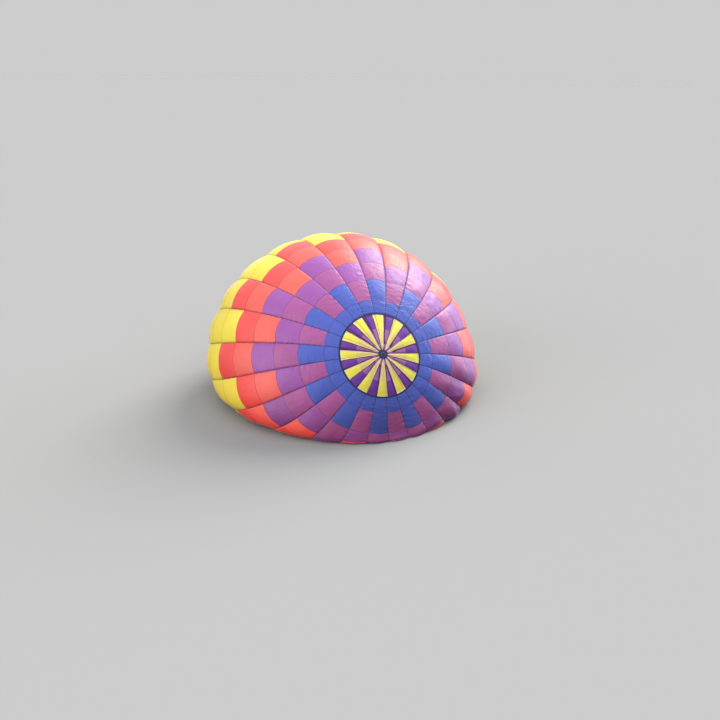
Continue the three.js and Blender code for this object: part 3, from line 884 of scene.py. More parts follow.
class Finishes:
    """Finishes of everything but the coloured cloth."""

    # Felled seams take each line's tint: the darker cloth beside them, in painted shade.
    FELLED = Webbing("felled seam", (0.3, 0.1, 0.3), tinted=True)
    LOAD_TAPE = Webbing("load tape", (0.5, 0.47, 0.4))
    CROWN_TAPE = Webbing("crown tape", (0.07, 0.01, 0.03), tinted=True)
    # Dark strips at the wedges' edges: the seams there, dark with painted shade.
    WEDGE_SEAM_SHADE = Webbing("wedge seam shade", (0.075, 0.012, 0.045))
    BINDING = Webbing("cream binding", (0.95, 0.86, 0.58), tinted=True)
    # White tabs at the wedges' corners: painted highlights.
    GLINT_TAB = Webbing("painted glint tab", (0.92, 0.91, 0.84))
    RIM_TAPE = Webbing("vent rim tape", (0.02, 0.02, 0.075))
    HEM = Webbing("mouth hem", (0.03, 0.03, 0.045))
    STRAP = Webbing("black strap", (0.025, 0.026, 0.03))
    THREAD = Webbing("waxed thread", (0.55, 0.45, 0.3))
    STEEL = Metal("stainless steel", (0.62, 0.63, 0.65))
    BRASS = Metal("machined brass", (0.69, 0.48, 0.2), roughness=0.3)
    ALLOY = Metal("cast alloy", (0.6, 0.6, 0.6), roughness=0.45)
    HEATED = Heated("heat-stained steel", (0.6, 0.59, 0.58))
    WIRE = Cable("steel cable", (0.55, 0.56, 0.58))
    TWINE = Cable("laid cord", (0.42, 0.33, 0.2), metallic=0.0, roughness=0.8, strands=3, lay=0.03)
    WICKER = Cane("willow", (0.5, 0.28, 0.11))
    DARK_WICKER = Cane("brown willow", (0.2, 0.095, 0.04))
    HIDE = Hide("brown hide", (0.13, 0.06, 0.03))
    SUEDE = Hide("tan suede", (0.3, 0.16, 0.075), roughness=0.8)
    RAWHIDE = Hide("rawhide lace", (0.42, 0.27, 0.14))
    PLYWOOD = Timber("birch ply", (0.55, 0.36, 0.16), grain=(30.0, 2.0, 30.0))
    RUNNER = Timber("ash runner", (0.42, 0.26, 0.12))
    NYLON = Paint("white nylon rod", (0.7, 0.69, 0.64), roughness=0.45)
    ENAMEL = Paint("white enamel", (0.72, 0.72, 0.69))
    GRIP = Paint("black grip", (0.03, 0.03, 0.03), roughness=0.6)


# Lines, and the geometry node trees that run along them


@dataclass
class Line:
    """A run of points with the way up at each.

    Attributes:
        points: Points in metres.
        ups: The way up at each, or None where it doesn't matter.
        closed: True where the last point meets the first.
        tint: Colour for a finish that reads it, linear.
    """

    points: Sequence[Sequence[float]]
    ups: np.ndarray | None = None
    closed: bool = False
    tint: Color = (0.0, 0.0, 0.0)

    def __post_init__(self) -> None:
        """Keeps the points as an array."""
        self.points = np.array([tuple(point) for point in self.points], float)


class Paths:
    """Sweeps ribbons and rods along lines, sets stitches along them and studs at their points.

    A swept mesh keeps where each point lies along its line (along), and in its section
    (section), both in metres.
    """

    def __init__(self) -> None:
        """Builds the four trees."""
        self.trees = {
            name: self.tree(name, sizes, fill)
            for name, sizes, fill in (
                ("Ribbon", {"Width": 0.03, "Thickness": 0.003}, self.ribbon_nodes),
                ("Rod", {"Radius": 0.005, "Sides": 8}, self.rod_nodes),
                ("Stitches", {"Length": 0.008, "Radius": 0.001, "Spacing": 0.012}, self.stitch_nodes),
                ("Studs", {"Radius": 0.008, "Height": 0.006, "Sides": 6}, self.stud_nodes),
            )
        }

    def tree(
        self, name: str, sizes: dict[str, float], fill: Callable[[Nodes, bpy.types.NodeOutputs], Socket]
    ) -> bpy.types.NodeTree:
        """Builds one tree.

        Args:
            name: Its name.
            sizes: Its named inputs and what they start at.
            fill: Adds the nodes between the inputs and the finish, and returns the geometry.

        Returns:
            The tree, which ends in Realize Instances and Set Material.
        """
        tree = bpy.data.node_groups.new(name, "GeometryNodeTree")
        add = tree.interface.new_socket
        add("Geometry", in_out="OUTPUT", socket_type="NodeSocketGeometry")
        add("Geometry", in_out="INPUT", socket_type="NodeSocketGeometry")
        for label, value in sizes.items():
            kind = "NodeSocketInt" if isinstance(value, int) else "NodeSocketFloat"
            add(label, in_out="INPUT", socket_type=kind).default_value = value
        add("Material", in_out="INPUT", socket_type="NodeSocketMaterial")
        nodes = Nodes(tree)
        given = nodes.add("NodeGroupInput").outputs
        real = nodes.out("GeometryNodeRealizeInstances", {"Geometry": fill(nodes, given)})
        dressed = nodes.out("GeometryNodeSetMaterial", {"Geometry": real, "Material": given["Material"]})
        nodes.add("NodeGroupOutput", {"Geometry": dressed})
        return tree

    @staticmethod
    def store(nodes: Nodes, shape: Socket, name: str, value: Socket, kind: str) -> Socket:
        """Stores a value at each point under a name."""
        inputs = {"Geometry": shape, "Name": name, "Value": value}
        return nodes.out("GeometryNodeStoreNamedAttribute", inputs, data_type=kind)

    @staticmethod
    def stored_up(nodes: Nodes) -> Socket:
        """Reads the way up that the source stores."""
        return nodes.out(
            "GeometryNodeInputNamedAttribute", {"Name": "up"}, pick="Attribute", data_type="FLOAT_VECTOR"
        )

    @staticmethod
    def curve(nodes: Nodes, given: bpy.types.NodeOutputs, flat: bool) -> Socket:
        """Turns the source's edges into curves, with the way up where flat, and measures along them."""
        curve = nodes.out("GeometryNodeMeshToCurve", {"Mesh": given["Geometry"]})
        if flat:
            inputs = {"Curve": curve, "Normal": Paths.stored_up(nodes)}
            curve = nodes.out("GeometryNodeSetCurveNormal", inputs, mode="FREE")
        along = nodes.out("GeometryNodeSplineParameter", pick="Length")
        return Paths.store(nodes, curve, "along", along, "FLOAT")

    @staticmethod
    def sweep(nodes: Nodes, given: bpy.types.NodeOutputs, section: Socket, flat: bool) -> Socket:
        """Sweeps a section along the source's lines.

        Args:
            nodes: The tree's nodes.
            given: The tree's inputs.
            section: The section's curve.
            flat: Whether the section is flat, and follows the way up.

        Returns:
            The swept geometry.
        """
        place = nodes.out("GeometryNodeInputPosition")
        section = Paths.store(nodes, section, "section", place, "FLOAT_VECTOR")
        inputs = {"Curve": Paths.curve(nodes, given, flat), "Profile Curve": section, "Fill Caps": True}
        swept = nodes.out("GeometryNodeCurveToMesh", inputs)
        return nodes.out("GeometryNodeSetShadeSmooth", {"Geometry": swept, "Shade Smooth": not flat})

    @staticmethod
    def ribbon_nodes(nodes: Nodes, given: bpy.types.NodeOutputs) -> Socket:
        """Sweeps a flat section, its width across the way up."""
        inputs = {"Width": given["Thickness"], "Height": given["Width"]}
        section = nodes.out("GeometryNodeCurvePrimitiveQuadrilateral", inputs)
        return Paths.sweep(nodes, given, section, flat=True)

    @staticmethod
    def rod_nodes(nodes: Nodes, given: bpy.types.NodeOutputs) -> Socket:
        """Sweeps a round section."""
        inputs = {"Resolution": given["Sides"], "Radius": given["Radius"]}
        section = nodes.out("GeometryNodeCurvePrimitiveCircle", inputs)
        return Paths.sweep(nodes, given, section, flat=False)

    @staticmethod
    def repeat(nodes: Nodes, points: Socket, way: Socket, cylinder: dict[str, object]) -> Socket:
        """Stands a small cylinder at each point.

        Args:
            nodes: The tree's nodes.
            points: The points.
            way: The way that each cylinder points.
            cylinder: Its sizes.

        Returns:
            The cylinders.
        """
        shape = nodes.out("GeometryNodeMeshCylinder", cylinder, pick="Mesh")
        turn = nodes.out("FunctionNodeAlignRotationToVector", {"Vector": way}, axis="Z")
        inputs = {"Points": points, "Instance": shape, "Rotation": turn}
        return nodes.out("GeometryNodeInstanceOnPoints", inputs)

    @staticmethod
    def stitch_nodes(nodes: Nodes, given: bpy.types.NodeOutputs) -> Socket:
        """Sets a short thread at even spacing along each curve."""
        inputs = {"Curve": Paths.curve(nodes, given, flat=False), "Length": given["Spacing"]}
        spaced = nodes.out("GeometryNodeResampleCurve", inputs, mode="LENGTH")
        thread = {"Vertices": 6, "Radius": given["Radius"], "Depth": given["Length"]}
        return Paths.repeat(nodes, spaced, nodes.out("GeometryNodeInputTangent"), thread)

    @staticmethod
    def stud_nodes(nodes: Nodes, given: bpy.types.NodeOutputs) -> Socket:
        """Sets a bolt head or rivet at each point, standing the stored way up."""
        points = nodes.out("GeometryNodeMeshToPoints", {"Mesh": given["Geometry"]})
        head = {"Vertices": given["Sides"], "Radius": given["Radius"], "Depth": given["Height"]}
        return Paths.repeat(nodes, points, Paths.stored_up(nodes), head)

    def source(self, name: str, lines: Sequence[Line]) -> Object:
        """Makes an object of bare edges along the lines.

        Args:
            name: Name of the object.
            lines: The lines.

        Returns:
            The object, with the way up stored at each point.
        """
        points: list[tuple[float, float, float]] = []
        edges: list[tuple[int, int]] = []
        ups, tints = [], []
        for line in lines:
            first, count = len(points), len(line.points)
            points.extend(map(tuple, line.points))
            ups.append(np.zeros((count, 3)) + (0, 0, 1) if line.ups is None else line.ups)
            tints.append(np.zeros((count, 4)) + (*line.tint, 1.0))
            edges.extend((first + k, first + k + 1) for k in range(count - 1))
            if line.closed:
                edges.append((first + count - 1, first))
        mesh = bpy.data.meshes.new(name)
        mesh.from_pydata(points, edges, [])
        attribute = mesh.attributes.new("up", "FLOAT_VECTOR", "POINT")
        attribute.data.foreach_set("vector", np.concatenate(ups).astype(np.float32).ravel())
        if any(any(line.tint) for line in lines):
            attribute = mesh.attributes.new("tint", "FLOAT_COLOR", "POINT")
            attribute.data.foreach_set("color", np.concatenate(tints).astype(np.float32).ravel())
        return placed(name, mesh)

    def run(self, name: str, lines: Sequence[Line], tree: str, finish: Finish, **sizes: float) -> Object:
        """Runs a tree along the lines.

        Args:
            name: Name of the object.
            lines: Where it runs.
            tree: Name of the tree.
            finish: Its finish.
            **sizes: The tree's named inputs.

        Returns:
            The object, a plain mesh.
        """
        obj = self.source(name, lines)
        modifier = obj.modifiers.new(tree, "NODES")
        modifier.node_group = self.trees[tree]
        items = self.trees[tree].interface.items_tree
        sockets = {item.name: item.identifier for item in items if item.in_out == "INPUT"}
        for label, value in {**sizes, "Material": finish.material()}.items():
            modifier[sockets[label]] = value
        settle(obj)
        up = obj.data.attributes.get("up")
        if up:
            obj.data.attributes.remove(up)
        return obj

    def ribbon(
        self, name: str, lines: Sequence[Line], width: float, thickness: float, finish: Finish
    ) -> Object:
        """Makes flat tape along lines, in metres."""
        return self.run(name, lines, "Ribbon", finish, Width=width, Thickness=thickness)

    def rod(self, name: str, lines: Sequence[Line], radius: float, finish: Finish, sides: int = 8) -> Object:
        """Makes round rod, tube or cable along lines, in metres."""
        return self.run(name, lines, "Rod", finish, Radius=radius, Sides=sides)

    def stitches(
        self, name: str, lines: Sequence[Line], length: float, radius: float, spacing: float, finish: Finish
    ) -> Object:
        """Makes a row of short threads along lines, in metres."""
        return self.run(name, lines, "Stitches", finish, Length=length, Radius=radius, Spacing=spacing)

    def studs(
        self, name: str, points: Sequence[Sequence[float]], up: Sequence[float], radius: float, height: float,
        finish: Finish, sides: int = 6,
    ) -> Object:
        """Makes bolt heads or rivets centred on points, in metres, that stand one way up."""
        places = Line(points, np.tile(np.array(up, float), (len(points), 1)))
        return self.run(name, [places], "Studs", finish, Radius=radius, Height=height, Sides=sides)


# Envelope


@dataclass(frozen=True)
class EnvelopeShape:
    """Outer face of the envelope: the crown's curve, laid down and settled on the ground.

    A place on it is a length along the gore from the crown, in metres, and an angle
    round the axis from the top towards +Y. All lengths are in metres.
    """

    gores: int = 24
    first_tape: float = math.radians(19.5)
    vent_edge: float = 2.48
    first_seam: float = 3.35
    row: float = 1.52
    full_rows: int = 12
    turn: tuple[float, float, float] = (0.0961, -0.00406, 0.0005)
    crown_forward: float = 5.5
    ground_drop: float = 4.4
    crown_height: float = 4.5
    crown_tilt: float = math.radians(34)
    side_shift: float = 0.16
    settle: float = 0.0194
    narrowing: float = 0.0606
    top_spread: float = -0.0616
    low_spread: float = 0.482
    side_slack: float = 0.0505
    side_sag: float = 0.377
    side_drift: float = 0.47
    tape_crowding: float = math.radians(1.94)
    ground_edge: float = 0.774
    belly_tuck: float = 0.365
    belly_depth: float = 2.97
    toe_tuck: float = 0.3
    puff: float = 0.15
    puff_radius: float = 8.5
    puff_run_in: float = 1.5
    cone_top: float = 12.9
    cone_belly: float = 8.4
    cone_turns_in: float = 0.2
    mouth_back: float = 14.6
    mouth_height: float = 1.8
    mouth_half_width: float = 2.05
    mouth_half_height: float = 1.72
    mouth_lean: float = 0.25
    closing: tuple[float, float] = (math.radians(38), math.radians(25))
    fullness: tuple[float, float] = (1.1, 0.35)
    curve_step: float = 0.02
    top_tape: float = 18.8
    crown_pull: tuple[float, float] = (0.077, -0.043)

    @property
    def mouth_edge(self) -> float:
        """Length along the gore at the mouth."""
        return self.first_seam + self.full_rows * self.row

    def tape_angle(self, number: np.ndarray | float) -> np.ndarray | float:
        """Returns the angle of a load tape, where a half number is mid gore."""
        return np.radians(-90 - 360 / self.gores * number) + self.first_tape

    def pulled(
        self, length: np.ndarray, phi: np.ndarray, rim_pull: tuple[float, float] = (0.0, 0.0)
    ) -> tuple[np.ndarray, np.ndarray]:
        """Slides places inside the vent along the face, as the crown is pulled aside.

        Args:
            length: Length from the crown.
            phi: Angle round the axis.
            rim_pull: Slide at the vent's edge, across and up. At the crown it is crown_pull.

        Returns:
            Their lengths and angles after the slide.
        """
        share = np.minimum(length / self.vent_edge, 1.0)
        across, up = (crown + (rim - crown) * share for crown, rim in zip(self.crown_pull, rim_pull))
        across, up = length * np.sin(phi) + across, length * np.cos(phi) + up
        return np.hypot(across, up), np.arctan2(across, up)

    def crown_curve(self, length: np.ndarray) -> tuple[np.ndarray, np.ndarray]:
        """Returns the crown curve's radius and its depth behind the crown."""
        middles = np.arange(self.curve_step / 2, 1.2 * self.cone_top, self.curve_step)
        turn = sum(share * middles ** (power + 1) for power, share in enumerate(self.turn))
        radius, depth = (
            np.concatenate([[0], np.cumsum(way(turn))]) * self.curve_step for way in (np.cos, np.sin)
        )
        lengths = np.arange(len(radius)) * self.curve_step
        return np.interp(length, lengths, radius), np.interp(length, lengths, depth)

    def puff_share(self, length: np.ndarray) -> np.ndarray:
        """Returns how much of its puff a gore has: none at the vent edge and mouth."""
        near = np.minimum(length - self.vent_edge, self.mouth_edge - length)
        return smoothstep(near / self.puff_run_in)

    def filled_end(self, length: np.ndarray, phi: np.ndarray, puff: np.ndarray) -> np.ndarray:
        """Returns points of the filled end, before it meets the ground."""
        tens = length / 10
        up, side = np.cos(phi), np.sin(phi)
        radius, depth = self.crown_curve(length * (1 + self.side_slack * side * tens))
        radius = radius * (1 + puff * self.puff_share(length) / self.puff_radius)
        angle = phi + self.tape_crowding * side
        across = radius * np.sin(angle) * (1 - self.narrowing * tens)
        across = across + self.low_spread * side * np.maximum(-up, 0) * tens**2
        rise = radius * np.cos(angle) * (1 + self.top_spread * up * tens)
        behind = depth - (self.side_sag * np.cos(2 * phi) + self.side_drift * side) * tens**2
        cos, sin = math.cos(self.crown_tilt), math.sin(self.crown_tilt)
        height = self.crown_height - behind * sin + rise * cos + self.settle * depth**2
        return np.stack([-behind * cos - rise * sin, across, height], -1)

    def lower_cone(
        self, length: np.ndarray, phi: np.ndarray, start: np.ndarray, puff: np.ndarray
    ) -> np.ndarray:
        """Returns points of the lower cone, a smooth run from the filled end to the mouth."""
        run = self.mouth_edge - start
        t = ((length - start) / run)[..., None]
        reach = 0.05
        first = self.filled_end(start, phi, puff)
        along = self.filled_end(start + reach, phi, puff) - self.filled_end(start - reach, phi, puff)
        up, side = np.cos(phi), np.sin(phi)
        last = [
            -self.mouth_back + self.mouth_lean * up,
            self.mouth_half_width * side - self.side_shift,
            self.mouth_height + self.mouth_half_height * up,
        ]
        closing = self.closing[0] + self.closing[1] * up
        leaving = np.stack([-np.cos(closing), -np.sin(closing) * side, -np.sin(closing) * up], -1)
        pull = (run * (self.fullness[0] + self.fullness[1] * up))[..., None]
        swell = (puff * self.puff_share(length) / self.puff_radius)[..., None] * 4 * t * (1 - t)
        return (
            first * (2 * t**3 - 3 * t**2 + 1)
            + along / (2 * reach) * (t**3 - 2 * t**2 + t) * pull
            + np.stack(last, -1) * (3 * t**2 - 2 * t**3)
            + leaving * (t**3 - t**2) * pull
            + swell * np.stack([0 * phi, side, up], -1)
        )

    def points(self, length: np.ndarray, phi: np.ndarray, puff: np.ndarray | float = 0.0) -> np.ndarray:
        """Finds points of the envelope's outer face.

        Args:
            length: Length along the gore from the crown.
            phi: Angle round the axis from the top towards +Y.
            puff: Outward puff at the widest ring.

        Returns:
            Points in metres, the last axis x, y, z.
        """
        given = (np.asarray(values, float) for values in (length, phi, puff))
        length, phi, puff = np.broadcast_arrays(*given)
        under = smoothstep((-np.cos(phi) - self.cone_turns_in) / (1 - self.cone_turns_in))
        start = self.cone_top - (self.cone_top - self.cone_belly) * under
        filled, cone = self.filled_end(length, phi, puff), self.lower_cone(length, phi, start, puff)
        free = np.where((length < start)[..., None], filled, cone)
        height = self.ground_edge * np.logaddexp(0, free[..., 2] / self.ground_edge)
        pressed = np.tanh((height - free[..., 2]) / self.belly_depth)
        x = free[..., 0] - self.toe_tuck * pressed**2 + self.crown_forward
        y = free[..., 1] * (1 - self.belly_tuck * pressed) + self.side_shift
        return np.stack([x, y, height - self.ground_drop], -1)

    def width(self, length: np.ndarray, number: np.ndarray | float) -> np.ndarray:
        """Returns the distance from one tape to the next at a length along them."""
        ends = [self.points(length, self.tape_angle(number + k)) for k in (0, 1)]
        return np.linalg.norm(ends[1] - ends[0], axis=-1)

    def normals(self, length: np.ndarray, phi: np.ndarray, puff: np.ndarray | float = 0.0) -> np.ndarray:
        """Returns outward normals of the face that points() gives."""
        reach = 0.04
        spin = reach / 5
        near = np.maximum(np.asarray(length, float) - reach, 0.001)
        along = self.points(length + reach, phi, puff) - self.points(near, phi, puff)
        around = self.points(length, phi + spin, puff) - self.points(length, phi - spin, puff)
        return unit(np.cross(around, along))


def degrees_from(phi: np.ndarray, degrees: float) -> np.ndarray:
    """Returns how many degrees each angle lies past one in degrees, from -180 to 180."""
    return np.degrees(np.angle(np.exp(1j * (phi - math.radians(degrees)))))


@dataclass
class Wrinkles:
    """How the cloth leaves the smooth face, in metres: pillows, puckers, slack and folds.

    Attributes:
        shape: The smooth face.
        pillow: Height of the pillow between two seams.
        pucker: Height of the ripples beside a tape.
        slack: Height of the buckles where the cloth isn't tight yet.
        slack_places: Where it is slack: length, degrees, reach, spread in degrees and share.
        lobe: Extra puff of the slack gores low on the +Y side.
        cone: Height of the long folds near the mouth.
        crumple: Height of the crumples near the ground.
        pleats: Number of folds across a gore where the ground bunches it up.
    """

    shape: EnvelopeShape
    pillow: float = 0.016
    pucker: float = 0.014
    slack: float = 0.075
    slack_places: tuple[tuple[float, float, float, float, float], ...] = (
        (6.6, 58.0, 2.4, 24.0, 1.0), (6.0, 128.0, 2.6, 26.0, 0.9), (9.5, 150.0, 2.5, 40.0, 0.5)
    )
    lobe: float = 0.11
    cone: float = 0.11
    crumple: float = 0.05
    pleats: int = 4
    broad: GradientNoise = field(default_factory=lambda: GradientNoise(11))
    fine: GradientNoise = field(default_factory=lambda: GradientNoise(29))

    def slackness(self, length: np.ndarray, phi: np.ndarray) -> np.ndarray:
        """Returns how slack the cloth is, from 0 to 1: most on the +Y side."""
        total = np.full(np.broadcast(length, phi).shape, 0.1)
        for along, degrees, reach, spread, share in self.slack_places:
            total = total + share * bell((length - along) / reach, degrees_from(phi, degrees) / spread)
        return np.minimum(total, 1.0)

    def gather(self, length: np.ndarray, share: np.ndarray, width: np.ndarray) -> np.ndarray:
        """Finds the depth of the folds that take up a gore squeezed between tapes that lie close.

        Args:
            length: Length along the gore.
            share: Place across the gore.
            width: Distance between the tapes there.

        Returns:
            Depths, towards the inside.
        """
        cut_width = self.shape.width(length, self.shape.top_tape) * 1.03
        spare = 1 + 0.62 * np.clip(cut_width / width - 1.25, 0, 0.65)
        depth = width / (2 * self.pleats) * np.sqrt(spare**2 - 1)
        return depth * np.sin(math.pi * self.pleats * share) ** 2

    def height(
        self, length: np.ndarray, phi: np.ndarray, share: np.ndarray, points: np.ndarray, span: np.ndarray
    ) -> np.ndarray:
        """Finds how far the cloth stands out.

        Args:
            length: Length along the gore.
            phi: Angle round the axis.
            share: Place across the gore, 0 and 1 at its tapes.
            points: The smooth face there.
            span: Distance between the gore's tapes there.

        Returns:
            Heights along the outward normal.
        """
        shape = self.shape
        across = 4 * share * (1 - share)
        row = np.where(
            length < shape.first_seam,
            (length - shape.vent_edge) / (shape.first_seam - shape.vent_edge),
            np.mod((length - shape.first_seam) / shape.row, 1.0),
        )
        total = self.pillow * np.sqrt(np.abs(np.sin(math.pi * row))) * np.sqrt(across)
        total += self.lobe * across * bell((length - 6.8) / 2.6, degrees_from(phi, 118) / 34)
        beside = np.minimum(share, 1 - share) * np.maximum(length, 1.0) * 0.2
        sway = self.broad(points, 1.1)
        ripple = np.sin(length * TURN / 0.37 + 5 * sway + 2 * np.floor(phi * 3.8))
        total += self.pucker * ripple * bell((beside - 0.1) / 0.16) * (0.6 + sway)
        lump = self.broad(points * (1.0, 1.0, 1.25), 1.35)
        crease = 0.4 - np.abs(self.fine(points * (1.0, 0.8, 1.2), 0.85)) * 1.6
        buckles = (lump + 0.55 * crease) * (0.3 + 0.7 * np.sqrt(across))
        total += self.slack * self.slackness(length, phi) * buckles
        total -= self.gather(length, share, span)
        near_ground = smoothstep(1 - (points[..., 2] + shape.ground_drop) / 1.1)
        total += self.crumple * near_ground * np.maximum(self.fine(points, 0.55), -0.2)
        rear = smoothstep((length - 12.5) / 5.0) * smoothstep((shape.mouth_edge - length) / 1.2)
        around = np.stack([12 * np.cos(phi), 12 * np.sin(phi), length * 0.35], -1)
        total += self.cone * rear * (self.broad(around, 1.6) + 0.4 * crease)
        hem = smoothstep((length - shape.vent_edge) / 0.6) * smoothstep((shape.mouth_edge - length) / 0.5)
        return total * hem


@dataclass
class Envelope:
    """Cloth, tapes and seams of the envelope.

    Attributes:
        shape: The smooth face.
        wrinkles: What the cloth adds to it.
        paths: Sweeps the tapes.
        step: Largest spacing of points along a gore.
        strips: Faces across a gore, half as many again where it is narrower than narrow.
        thickness: Modelled thickness of the cloth.
        clearance: Least height of the cloth's outer face over the ground.
        ground_blend: How gently the cloth turns onto the ground.
        rim_pull: Slide of the tape round the vent, across and up.
        flat_gore: Width and length that a gore is cut from; not used.
        flat_area: Cloth in a gore, in square metres; not used.
    """

    shape: EnvelopeShape
    wrinkles: Wrinkles
    paths: Paths
    step: float = 0.095
    strips: int = 16
    narrow: float = 1.9
    thickness: float = 0.004
    clearance: float = 0.006
    ground_blend: float = 0.012
    tape_width: float = 0.036
    seam_width: float = 0.022
    inner_tape_width: float = 0.025
    rim_tape_width: float = 0.1
    rim_pull: tuple[float, float] = (-0.028, -0.01)
    flat_gore: tuple[float, float] = (2.32, 19.11)
    flat_area: float = 29.0

    CLIMB = (Cloths.BLUE, Cloths.PLUM, Cloths.VIOLET, Cloths.CORAL, Cloths.SCARLET, Cloths.YELLOW)
    FIRST_ROWS = (Cloths.BLUE, *CLIMB, *CLIMB[:0:-1], Cloths.NOMEX)
    SECOND_ROWS = (*CLIMB, Cloths.YELLOW, Cloths.YELLOW, *CLIMB[:1:-1], Cloths.NOMEX)

    def cloths(self, number: int) -> tuple[Ripstop, ...]:
        """Returns the cloth of each row of a gore."""
        return self.SECOND_ROWS if number % 2 else self.FIRST_ROWS

    def seams(self) -> np.ndarray:
        """Returns the lengths at which rows of panels meet, the vent and mouth edges too."""
        rows = self.shape.first_seam + self.shape.row * np.arange(self.shape.full_rows)
        return np.concatenate([[self.shape.vent_edge], rows, [self.shape.mouth_edge]])

    def stations(self) -> tuple[np.ndarray, np.ndarray]:
        """Returns the lengths of the mesh's rings, and each ring gap's row number."""
        lengths, rows = [self.shape.vent_edge], []
        seams = self.seams()
        for row, (low, high) in enumerate(zip(seams, seams[1:])):
            count = math.ceil((high - low) / self.step)
            lengths.extend(np.linspace(low, high, count + 1)[1:])
            rows.extend([row] * count)
        return np.array(lengths), np.array(rows)

    def face(
        self, length: np.ndarray, number: np.ndarray | float, share: np.ndarray, lift: float = 0.0
    ) -> np.ndarray:
        """Finds points on the cloth.

        Args:
            length: Length along the gore.
            number: Number of the tape at the gore's first edge.
            share: Place across the gore, from 0 to 1.
            lift: Height above the cloth.

        Returns:
            Points in metres.
        """
        length, share = np.broadcast_arrays(length, share)
        phi = self.shape.tape_angle(number + share)
        puff = self.shape.puff * 4 * share * (1 - share)
        points = self.shape.points(length, phi, puff)
        height = self.wrinkles.height(length, phi, share, points, self.shape.width(length, number)) + lift
        points = points + self.shape.normals(length, phi, puff) * height[..., None]
        ground = self.clearance - self.shape.ground_drop - lift
        over = (points[..., 2] - ground) / self.ground_blend
        points[..., 2] = ground + self.ground_blend * np.logaddexp(0, over)
        return points

    def gore(self, number: int) -> Object:
        """Makes one gore of sewn panels.

        Args:
            number: The gore's number, from 0.

        Returns:
            The gore's object.
        """
        lengths, rows = self.stations()
        narrow = self.shape.width(lengths, number).max() < self.narrow
        strips = self.strips * 3 // 2 if narrow else self.strips
        length, share = np.meshgrid(lengths, np.linspace(0, 1, strips + 1), indexing="ij")
        points = self.face(length, number, share)
        width = np.linalg.norm(points[:, -1] - points[:, 0], axis=-1)[:, None]
        cloths = self.cloths(number)
        used = list(dict.fromkeys(cloths))
        sheet = Sheet(
            points=points,
            flat=np.stack([(share - 0.5) * width, length], -1),
            paint=np.repeat([used.index(cloths[row]) for row in rows], strips),
            # hem darkens the cloth beside the tapes as painted shade, and places the puckers there.
            hem=np.exp(-np.minimum(share, 1 - share) * width / 0.1),
        )
        return thicken(sheet.build(f"gore_cloth_{number + 1:02d}", used), self.thickness)

    @staticmethod
    def shade(first: Ripstop, second: Ripstop) -> Color:
        """Returns the colour of a seam between two cloths: the darker one, darkened as painted shade."""
        return min(first, second, key=lambda cloth: sum(cloth.color)).times(0.42)

    def tape_lines(self, lift: float) -> list[Line]:
        """Finds the run of each load tape, in a piece for each row, from the vent's edge to the mouth.

        Args:
            lift: Height above the cloth's outer face.

        Returns:
            The lines, each in the darker colour of the cloths beside it, darkened as painted shade.
        """
        lengths, rows = self.stations()
        lines = []
        for number in range(self.shape.gores):
            points = self.face(lengths, number, np.zeros_like(lengths), lift)
            ups = self.shape.normals(lengths, np.full_like(lengths, self.shape.tape_angle(number)))
            for row, (first, second) in enumerate(zip(self.cloths(number - 1), self.cloths(number))):
                part = slice(np.searchsorted(rows, row), np.searchsorted(rows, row + 1) + 1)
                lines.append(Line(points[part], ups[part], tint=self.shade(first, second)))
        return lines

    def seam_lines(self) -> list[Line]:
        """Returns the run of each seam across each gore."""
        shares = np.linspace(0.015, 0.985, self.strips + 1)
        puff = self.shape.puff * 4 * shares * (1 - shares)
        lines = []
        for number in range(self.shape.gores):
            cloths = self.cloths(number)
            for length, first, second in zip(self.seams()[1:-1], cloths, cloths[1:]):
                lengths = np.full_like(shares, length)
                points = self.face(lengths, number, shares, lift=0.0015)
                ups = self.shape.normals(lengths, self.shape.tape_angle(number + shares), puff)
                lines.append(Line(points, ups, tint=self.shade(first, second)))
        return lines

    def rim_line(self) -> Line:
        """Returns the run of the tape round the vent's edge."""
        numbers = np.arange(0, self.shape.gores, 1 / 8)
        edge = np.full_like(numbers, self.shape.vent_edge - 0.02)
        length, phi = self.shape.pulled(edge, self.shape.tape_angle(numbers), self.rim_pull)
        ups = self.shape.normals(length, phi)
        return Line(self.shape.points(length, phi) + 0.0035 * ups, ups, closed=True)

    def make(self) -> None:
        """Makes the gores, tapes and seams, and seats them in the frame."""
        for number in range(self.shape.gores):
            gore = self.gore(number)
            seat(gore, Slot.YELLOW if number % 2 else Slot.CORAL, f"gore_{number + 1:02d}")
        outside, inside = (self.tape_lines(lift) for lift in (0.002, -self.thickness - 0.001))
        for name, lines, width, thickness, finish in (
            ("gore_seams", outside, self.tape_width, 0.003, Finishes.FELLED),
            ("panel_seams", self.seam_lines(), self.seam_width, 0.0016, Finishes.FELLED),
            ("load_tapes", inside, self.inner_tape_width, 0.002, Finishes.LOAD_TAPE),
            ("vent_rim_tape", [self.rim_line()], self.rim_tape_width, 0.003, Finishes.RIM_TAPE),
        ):
            seat(self.paths.ribbon(name, lines, width, thickness, finish), Slot.WEBBING)


